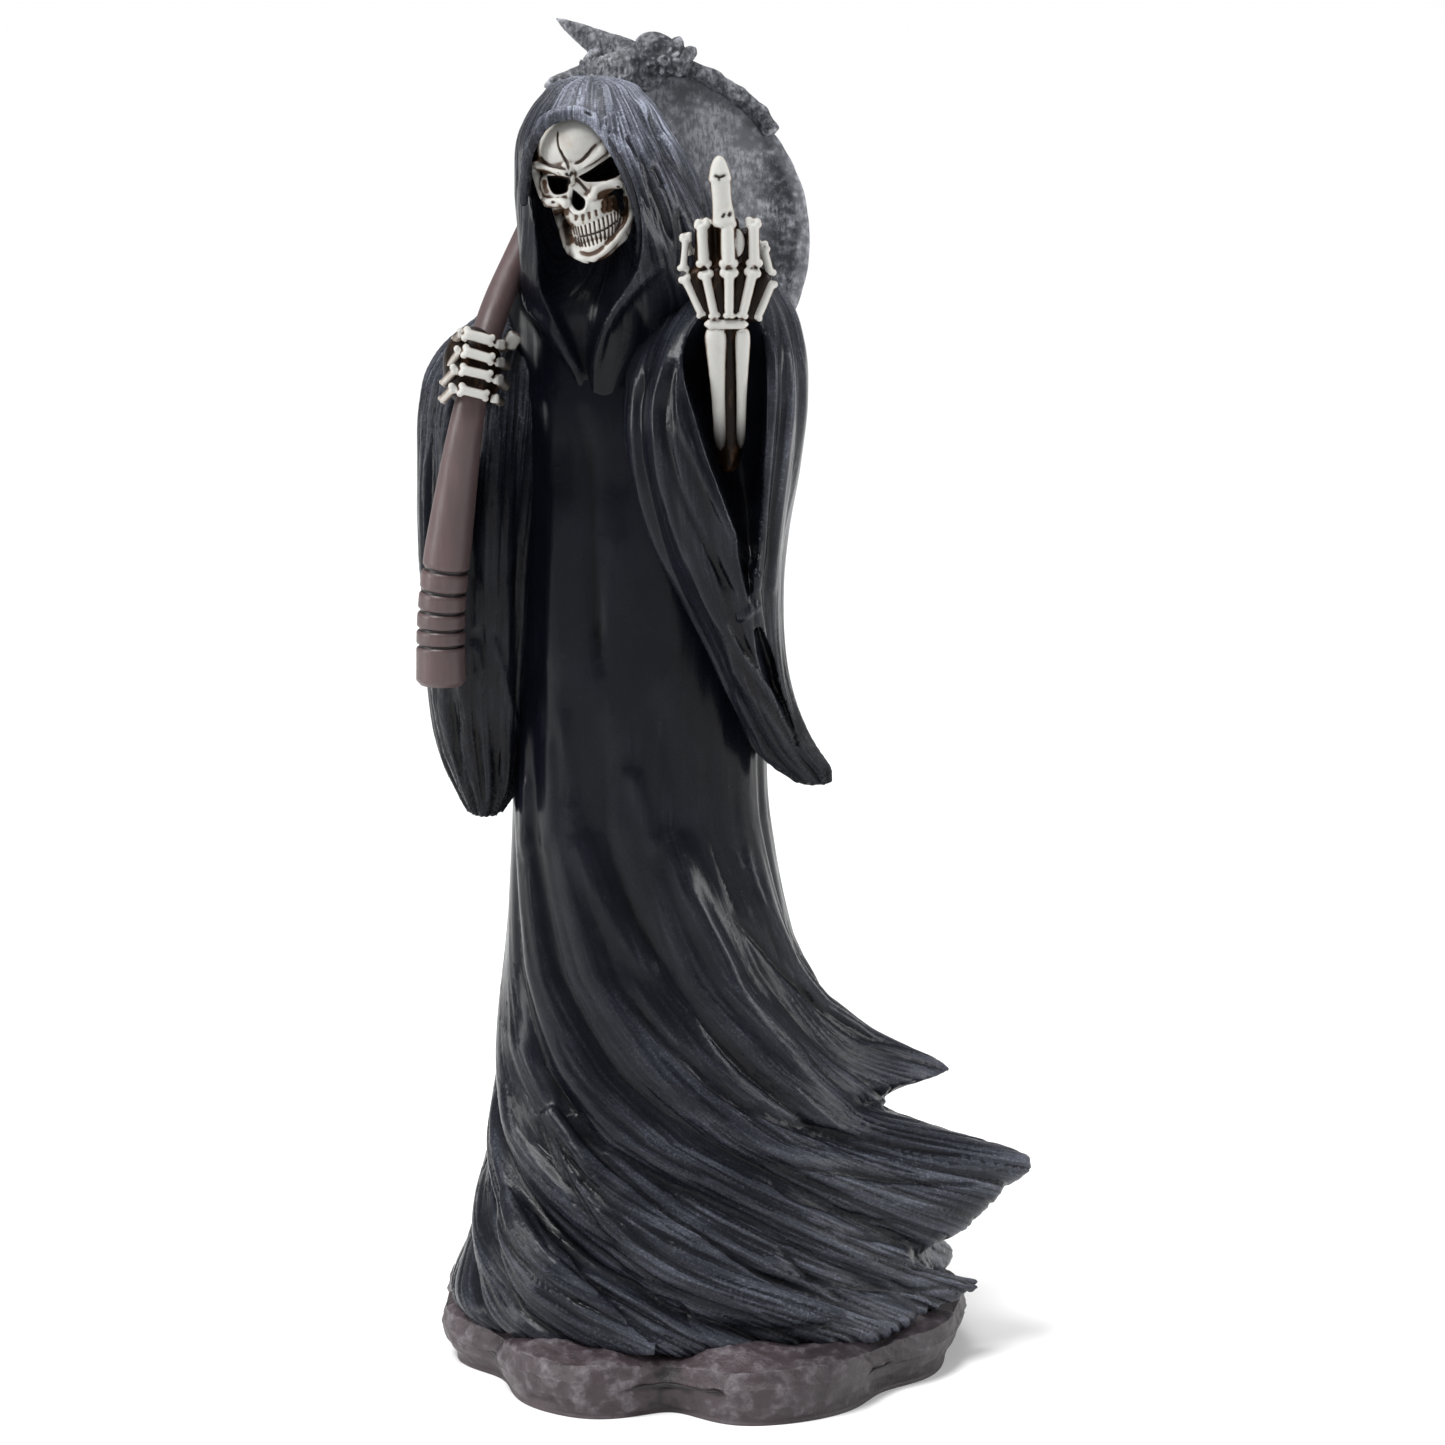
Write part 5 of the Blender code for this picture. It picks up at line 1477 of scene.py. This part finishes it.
def face_hole(outline, depth):
    """What a hole of the face takes away: its outline, run back along the camera's sight."""
    middle = np.mean(outline, axis=0)
    eye = np.array(camera_place()) / MM

    def place(t, angle):
        spot = middle + (closed_line(outline, angle / math.tau + 0.5) - middle) * (1.12 - 1.0 * t**4)[:, None]
        y = FACE_FRONT + t * (depth - FACE_FRONT)
        on_plane = np.stack([spot[:, 0], np.full(len(t), CARVING_DEPTH), spot[:, 1]], axis=1)
        return eye + (on_plane - eye) * ((y - eye[1]) / (CARVING_DEPTH - eye[1]))[:, None]

    hole = tube_mesh(40, 12, place)
    hole.flip_normals()
    return hole


def tooth_gaps(teeth):
    """The grooves between the teeth and between their rows, as strokes."""
    steps = np.linspace(0, 1, teeth + 1)
    at = np.linspace(0, 1, len(GUM_LINE))
    gum, bite, lower = (curve_through(np.array(row), at, steps) for row in (GUM_LINE, BITE_LINE, LOWER_LINE))
    strokes = [(BITE_LINE, 0.24, -0.45)]
    for row, other in ((gum, bite), (bite, lower)):
        for a, b in zip(row, other):
            strokes.append(((a, (a + b) / 2, b), 0.17, -0.4))
    return strokes


class REAPER_OT_skull(bpy.types.Operator):
    """Build the skull, set in the hood and looking to its right"""

    bl_idname = "reaper.skull"
    bl_label = "Skull"

    def execute(self, context):
        bone = context.scene.reaper_bone
        whole = fused(joined(skull_solids()), FINE_CELL, 4)
        whole.transform(Matrix.Translation(SKULL_PLACE) @ SKULL_TURN.to_matrix().to_4x4())
        carve(whole, SKULL_BROWS + SKULL_STAINS)
        carve(whole, ((GUM_LINE, 1.6, 0.4), (BITE_LINE, 1.8, 0.4), (LOWER_LINE, 1.2, 0.3)))
        tools = [face_hole(outline, depth) for outline, depth in SKULL_HOLES]
        skull = solid_shells(fused(cut(whole, tools), FACE_CELL, 2))
        fine = SKULL_CRACKS + tuple(tooth_gaps(bone.teeth))
        carve(skull, fine)
        mark_relief(skull, 30)
        skull = thinned(skull, TRIANGLES["skull"])
        flat, facing = seen_from_camera(skull)
        # Near-black painted shade: in the cracks and tooth gaps and in the holes of the face
        black = painted(skull, fine, 0.9)
        for outline, _ in SKULL_HOLES:
            black = np.maximum(black, smooth_step(-0.05, 0.30, self.inside(flat, outline)))
        # Painted black shadow beside the jaw
        black = np.maximum(black, 0.75 * smooth_step(-0.3, 0.6, self.inside(flat, JAW_SHADE)))
        store(skull, "deep", black * (points_of(skull)[:, 1] < -16))
        # Brown: laid stains and washes, the painted shade on the cheek, and the wash round cracks and tooth
        # gaps
        stain = 0.85 * painted(skull, SKULL_STAINS, 1.25)
        stain = np.maximum(stain, smooth_step(-0.3, 0.5, self.inside(flat, CHEEK_SHADE)))
        stain = np.maximum(stain, 0.55 * painted(skull, fine, 2.2))
        # Brown painted shade where the skull turns from the camera
        store(skull, "stain", np.maximum(stain, 0.8 * (1 - smooth_step(0.2, 0.6, facing))))
        made_piece("skull", skull, shared_finish("bone_paint", bone_finish, bone))
        return {"FINISHED"}

    def inside(self, flat, outline):
        """How far inside a closed outline each spot lies, below 0 outside it."""
        line = closed_line(outline, np.linspace(0, 1, 40))
        nearest = np.full(len(flat), 1e9)
        within = np.zeros(len(flat), bool)
        for a, b in zip(line, line[1:]):
            run = b - a
            t = np.clip(((flat - a) @ run) / max(run @ run, 1e-9), 0, 1)
            nearest = np.minimum(nearest, np.hypot(*(flat - a - t[:, None] * run).T))
            if a[1] != b[1]:
                crossed = (a[1] > flat[:, 1]) != (b[1] > flat[:, 1])
                within ^= crossed & (flat[:, 0] < run[0] * (flat[:, 1] - a[1]) / run[1] + a[0])
        return np.where(within, nearest, -nearest)


def bone_piece(name, meshes, cell, deep, fine):
    """Fuses bones into one piece and marks the hollows that its paint reads, with near-black painted shade in
    its creases and where deep() says, and brown painted shade where it turns from the camera.
    """
    bone = bpy.context.scene.reaper_bone
    skin = solid_shells(fused(joined(meshes), cell, 1))
    carve(skin, fine)
    mark_relief(skin, 16)
    skin = thinned(skin, TRIANGLES[name])
    # Near-black painted shade
    store(skin, "deep", np.maximum(deep(points_of(skin)), painted(skin, fine)))
    _, facing = seen_from_camera(skin)
    # Brown painted shade where the bones turn from the camera
    store(skin, "stain", 0.9 * (1 - smooth_step(0.30, 0.72, facing)))
    made_piece(name, skin, shared_finish("bone_paint", bone_finish, bone))


class REAPER_OT_raised_hand(bpy.types.Operator):
    """Build the raised hand, seen from its back, with its forearm in the sleeve"""

    bl_idname = "reaper.raised_hand"
    bl_label = "Raised hand"

    def execute(self, context):
        bone = context.scene.reaper_bone
        parts = []
        for row in METACARPALS + FINGERS + FOLDED:
            parts += bone_meshes(*row)
        for a, b, *girths in UPRIGHT + FOREARM:
            swell = (
                lambda t, g=girths: g[0] * (1 - t) * (1 - 2 * t)
                + 4 * g[1] * t * (1 - t) + g[2] * t * (2 * t - 1)
            )
            parts.append(rod_mesh(a, b, swell, 24, 24, flat=0.8))
        parts.append(plain_rod(*CARPALS))
        parts.append(ball_mesh(*SPLASH))

        # Near-black painted shade down the forearm's lower end, inside the sleeve
        def deep(points):
            return 0.95 - 0.95 * smooth_step(211, 220, points[:, 2])

        bone_piece("raised_hand", parts, BONE_CELL, deep, NAIL)
        web = [rod_mesh(*FOREARM_WEB, lambda t: 2.9 + 0 * t, 32, 40)]
        back = np.array((0, 2.6, 0))
        for one, next_one in zip(METACARPALS + FINGERS, METACARPALS[1:] + FINGERS[1:]):
            if one[0][2] < next_one[0][2] + 6:
                start = (np.array(one[0]) + next_one[0]) / 2 + back
                end = (np.array(one[1]) + next_one[1]) / 2 + back
                web.append(plain_rod(start, end + (0, 0, 0.6), 2.5, 24, 24))
        web.append(ball_mesh(*PALM_WEB, segments=48))
        web = solid_shells(fused(joined(web), WEB_CELL, 2))
        made_piece("raised_hand_web", web, shared_finish("web_paint", web_finish, bone))
        return {"FINISHED"}


class REAPER_OT_grip_hand(bpy.types.Operator):
    """Build the hand that holds the shaft: four fingers round its front and the thumb beside it"""

    bl_idname = "reaper.grip_hand"
    bl_label = "Gripping hand"

    def execute(self, context):
        bone = context.scene.reaper_bone
        parts = [plain_rod(*GRIP_THUMB, 20, 14)]
        for row in GRIP_KNUCKLES + GRIP_FINGERS + GRIP_TIPS:
            parts += bone_meshes(*row)

        # Painted shade on the fingertips and thumb that curl round the shaft, less at the top
        def deep(points):
            tip = smooth_step(-43.6, -42.6, points[:, 0])
            return tip * np.where(points[:, 2] > 231.2, 0.6, 0.85)

        bone_piece("grip_hand", parts, FINE_CELL, deep, ())
        web = ball_mesh(*GRIP_WEB, segments=64)
        made_piece("grip_hand_web", web, shared_finish("web_paint", web_finish, bone))
        return {"FINISHED"}


class REAPER_OT_shaft(bpy.types.Operator):
    """Build the scythe's shaft: thick and ringed at its butt, thinner through the hand"""

    bl_idname = "reaper.shaft"
    bl_label = "Shaft"

    def execute(self, context):
        scythe = context.scene.reaper_scythe
        share = np.linspace(0, 1, len(SHAFT))
        length = sum(math.dist(a, b) for a, b in zip(SHAFT, SHAFT[1:]))
        thick, thin = scythe.butt_radius / MM, scythe.shaft_radius / MM

        def place(t, angle):
            t = np.where(t < 0.02, t * t / 0.02, t)
            centre = curve_through(SHAFT, share, t)
            ahead = curve_through(SHAFT, share, np.clip(t + 0.01, 0, 1))
            behind = curve_through(SHAFT, share, np.clip(t - 0.01, 0, 1))
            along = ahead - behind
            along = along / np.linalg.norm(along, axis=1, keepdims=True)
            side = np.cross(along, (0.0, 1.0, 0.0))
            side = side / np.linalg.norm(side, axis=1, keepdims=True)
            depth = np.cross(along, side)
            run = t * length
            girths = (thick - 0.9, thick, thick * 0.93, thin, thin * 0.9)
            r = np.interp(run, (0, 1.2, 30, 62, length), girths)
            for ring in range(scythe.ring_count):
                middle = scythe.ring_pitch / MM * ring + FIRST_RING
                r = r - 0.75 * np.exp(-(((run - middle) / 0.42) ** 2))
            r = r[:, None]
            return centre + r * (np.cos(angle)[:, None] * side + np.sin(angle)[:, None] * depth)

        shaft = tube_mesh(48, 420, place)
        shaft.flip_normals()
        mark_relief(shaft, 12)
        made_piece("shaft", shaft, shared_finish("shaft_paint", shaft_finish, scythe))
        return {"FINISHED"}


class REAPER_OT_blade(bpy.types.Operator):
    """Build the crescent blade behind the hood, with its point at the shoulder"""

    bl_idname = "reaper.blade"
    bl_label = "Blade"

    def execute(self, context):
        scythe = context.scene.reaper_scythe
        outer = scythe.sweep_radius / MM
        widest = scythe.blade_width / MM

        def place(t, angle):
            turn = BLADE_FROM + (BLADE_TO - BLADE_FROM) * t
            width = widest * np.interp(t, (0, 0.15, 0.5, 0.75, 0.92, 1), (0.45, 0.7, 1.0, 0.85, 0.4, 0.06))
            across = np.cos(angle)
            reach = outer - width / 2 + across * width / 2
            fall = np.interp(t, (0, 0.8, 1), (1, 0.8, 0.2))
            bulge = BLADE_HALF_THICKNESS * np.sin(angle) * (0.45 + 0.55 * fall)
            x = BLADE_CENTRE[0] + reach * np.cos(turn)
            z = BLADE_CENTRE[2] + reach * np.sin(turn)
            y = BLADE_CENTRE[1] + bulge - 12.0 * np.clip(t - 0.35, 0, 1)
            return np.stack([x, y, z], axis=1)

        blade = tube_mesh(96, 150, place)
        points = points_of(blade)
        dents = 0.22 * noise_at(points, 0.22) + 0.10 * noise_at(points, 0.7)
        move_points(blade, points + normals_of(blade) * dents[:, None])
        mark_relief(blade, 10)
        away = np.hypot(points[:, 0] - BLADE_CENTRE[0], points[:, 2] - BLADE_CENTRE[2])
        store(blade, "edge", smooth_step(outer - 3.2, outer - 1.8, away))
        # More silver towards the blade's left, painted light on the side the key lights
        store(blade, "worn", 1.5 - 0.8 * smooth_step(6, 27, points[:, 0]))
        made_piece("blade", blade, shared_finish("blade_paint", blade_finish, scythe))
        return {"FINISHED"}


class REAPER_OT_scythe_head(bpy.types.Operator):
    """Build what is at the top of the shaft: spike, bindings, crown and the ridge on the blade"""

    bl_idname = "reaper.scythe_head"
    bl_label = "Scythe head"

    def execute(self, context):
        scythe = context.scene.reaper_scythe
        direction = np.array(SPIKE_DIRECTION)
        tip = SPIKE_ROOT + direction / np.linalg.norm(direction) * SPIKE_LENGTH
        parts = [
            rod_mesh(SPIKE_ROOT, tip, lambda t: 4.9 * (1 - t) ** 0.9 + 0.5, 32, 30, flat=0.62),
            ball_mesh(*SPIKE_LUMP),
            rod_mesh(*SPIKE_NECK, lambda t: 1.5 + 3.1 * t, flat=0.8),
            rod_mesh(*SPIKE_BARB, lambda t: 3.0 - 1.6 * t, flat=0.7),
        ]
        parts += [ball_mesh(*lump) for lump in HEAD_LUMPS]
        ridge = [(x, RIDGE_DEPTH, z) for x, z in BLADE_RIDGE]
        for a, b in zip(ridge, ridge[1:]):
            parts.append(rod_mesh(a, b, lambda t: 2.0 + 0.6 * np.abs(2 * t - 1) ** 2))
        for lean, reach in CROWN_POINTS:
            root = (-8 + 3 * lean, 15.5, 289.5)
            end = (root[0] + reach * math.sin(lean), 15, root[2] + reach * math.cos(lean))
            parts.append(rod_mesh(root, end, lambda t: 2.7 - 1.4 * t))
        for i in range(BINDINGS):
            a = (-24.5 + 1.1 * i, 10.6 + 0.2 * i, 285.0 + 0.25 * i)
            b = (-26.5 + 1.5 * i, 13.4 + 0.2 * i, 291.5 + 0.2 * i)
            parts.append(plain_rod(a, b, 0.55, 8, 8))
        eye = np.array(ROSETTE_EYE)
        parts.append(ball_mesh(eye, (1.5, 1.2, 1.4)))
        for i in range(ROSETTE_PETALS):
            a = 2 * math.pi * i / ROSETTE_PETALS
            away = np.array((math.cos(a), 0.25, 0.8 * math.sin(a)))
            parts.append(rod_mesh(eye + 1.9 * away, eye + 4.3 * away, lambda t: 0.75 - 0.45 * t, 8, 8))
        skin = solid_shells(fused(joined(parts), BONE_CELL, 1))
        points = points_of(skin)
        lumps = 0.18 * noise_at(points, 0.45) + 0.08 * noise_at(points, 1.1)
        move_points(skin, points + normals_of(skin) * lumps[:, None])
        mark_relief(skin, 10)
        skin = thinned(skin, TRIANGLES["scythe_head"])
        store(skin, "edge", np.zeros(len(skin.vertices)))
        store(skin, "worn", np.ones(len(skin.vertices)))
        made_piece("scythe_head", skin, shared_finish("blade_paint", blade_finish, scythe))
        return {"FINISHED"}


class REAPER_OT_rock(bpy.types.Operator):
    """Build the rock base: a low drum with clefts between its lobes and a rounded upper edge"""

    bl_idname = "reaper.rock"
    bl_label = "Rock base"

    def execute(self, context):
        rock = context.scene.reaper_rock
        def place(t, angle):
            clefts = np.zeros_like(angle)
            for middle, depth, spread in CLEFTS:
                off = (np.degrees(angle) - middle + 180) % 360 - 180
                clefts += depth * np.exp(-((off / spread) ** 2))
            width = np.interp(t, np.linspace(0, 1, len(ROCK_WIDTHS)), ROCK_WIDTHS)
            height = np.interp(t, np.linspace(0, 1, len(ROCK_HEIGHTS)), ROCK_HEIGHTS)
            front = 0.065 * np.clip(-np.sin(angle), 0, 1) ** 1.5
            r = BASE_RADIUS * (width + front * (1 - height.clip(0, 1))) * (1 - clefts)
            z = BASE_HEIGHT * height * (1 - 0.9 * clefts * (height > 0.5))
            return np.stack([r * np.cos(angle), r * np.sin(angle), z], axis=1)

        base = tube_mesh(380, 80, place)
        points = points_of(base)
        deep = rock.roughness_depth / MM
        bumps = deep * (
            0.9 * noise_at(points, 0.09) + 0.6 * noise_at(points, 0.22) + 0.3 * noise_at(points, 0.55)
        )
        free = smooth_step(0.2, 2.0, points[:, 2])
        points += normals_of(base) * (bumps * free - 0.35 * deep)[:, None] * free[:, None]
        points[:, 2] = np.maximum(points[:, 2], 0)
        move_points(base, points)
        mark_relief(base, 14)
        # Painted shade, growing towards the rock's right side
        store(base, "shaded", smooth_step(10, 34, points[:, 0]))
        made_piece("rock_base", base, shared_finish("stone_paint", rock_finish, rock))
        return {"FINISHED"}


class REAPER_OT_stage(bpy.types.Operator):
    """Set out the pale floor, the soft light and the photograph's camera"""

    bl_idname = "reaper.stage"
    bl_label = "Stage"

    def execute(self, context):
        studio = context.scene.reaper_studio
        bm = bmesh.new()
        bmesh.ops.create_grid(bm, x_segments=2, y_segments=2, size=FLOOR_SIZE)
        mesh = bpy.data.meshes.new("floor")
        bm.to_mesh(mesh)
        bm.free()
        paint = Finish("floor_paint")
        paint.shader.inputs["Base Color"].default_value = (*studio.floor_colour, 1)
        paint.shader.inputs["Roughness"].default_value = 0.9
        mesh.materials.append(paint.material)
        floor = bpy.data.objects.new("floor", mesh)
        context.scene.collection.objects.link(floor)

        world = bpy.data.worlds.new("studio")
        context.scene.world = world
        world.use_nodes = True
        sky = world.node_tree.nodes["Background"].inputs
        sky["Color"].default_value = (1, 1, 1, 1)
        sky["Strength"].default_value = studio.sky

        sun = bpy.data.lights.new("key", "SUN")
        sun.energy = studio.sun
        sun.angle = math.radians(24)
        self.lamp("key", sun, KEY_PLACE, context)
        for name, place, power, size in SOFT_BOXES:
            box = bpy.data.lights.new(name, "AREA")
            box.energy = power
            box.shape = "RECTANGLE"
            box.size = size
            box.size_y = 2.2 * size
            self.lamp(name, box, place, context)

        camera = bpy.data.cameras.new("camera")
        camera.lens = CAMERA_LENS
        camera.clip_start = 0.01
        camera.clip_end = 200
        holder = bpy.data.objects.new("camera", camera)
        context.scene.collection.objects.link(holder)
        holder.location = camera_place()
        holder.rotation_euler = (Vector(CAMERA_AIM) - holder.location).to_track_quat("-Z", "Y").to_euler()
        context.scene.camera = holder
        context.scene.view_settings.view_transform = "Standard"
        return {"FINISHED"}

    def lamp(self, name, light, place, context):
        """Hangs a light and points it at the figure's middle."""
        holder = bpy.data.objects.new(name, light)
        context.scene.collection.objects.link(holder)
        holder.location = place
        holder.rotation_euler = (Vector(LAMP_AIM) - holder.location).to_track_quat("-Z", "Y").to_euler()


SETTINGS = {
    "reaper_cloth": ClothSettings,
    "reaper_bone": BoneSettings,
    "reaper_scythe": ScytheSettings,
    "reaper_rock": RockSettings,
    "reaper_studio": StudioSettings,
}
OPERATORS = (
    REAPER_OT_robe,
    REAPER_OT_hood,
    REAPER_OT_sleeves,
    REAPER_OT_skull,
    REAPER_OT_raised_hand,
    REAPER_OT_grip_hand,
    REAPER_OT_shaft,
    REAPER_OT_blade,
    REAPER_OT_scythe_head,
    REAPER_OT_rock,
    REAPER_OT_stage,
)


class REAPER_PT_figurine(bpy.types.Panel):
    """Lists the figurine's settings and pieces"""

    bl_idname = "REAPER_PT_figurine"
    bl_label = "Figurine"
    bl_space_type = "VIEW_3D"
    bl_region_type = "UI"
    bl_category = "Figurine"

    def draw(self, context):
        for name in SETTINGS:
            box = self.layout.box()
            group = getattr(context.scene, name)
            for key in group.__annotations__:
                box.prop(group, key)
        column = self.layout.column()
        for operator in OPERATORS:
            column.operator(operator.bl_idname)


def register():
    for group in SETTINGS.values():
        bpy.utils.register_class(group)
    for name, group in SETTINGS.items():
        setattr(bpy.types.Scene, name, bpy.props.PointerProperty(type=group))
    for operator in OPERATORS:
        bpy.utils.register_class(operator)
    bpy.utils.register_class(REAPER_PT_figurine)


def unregister():
    bpy.utils.unregister_class(REAPER_PT_figurine)
    for operator in reversed(OPERATORS):
        bpy.utils.unregister_class(operator)
    for name, group in SETTINGS.items():
        delattr(bpy.types.Scene, name)
        bpy.utils.unregister_class(group)


def main():
    """Builds every piece and the stage."""
    register()
    for operator in OPERATORS:
        group, name = operator.bl_idname.split(".")
        getattr(getattr(bpy.ops, group), name)()


if __name__ == "__main__":
    main()
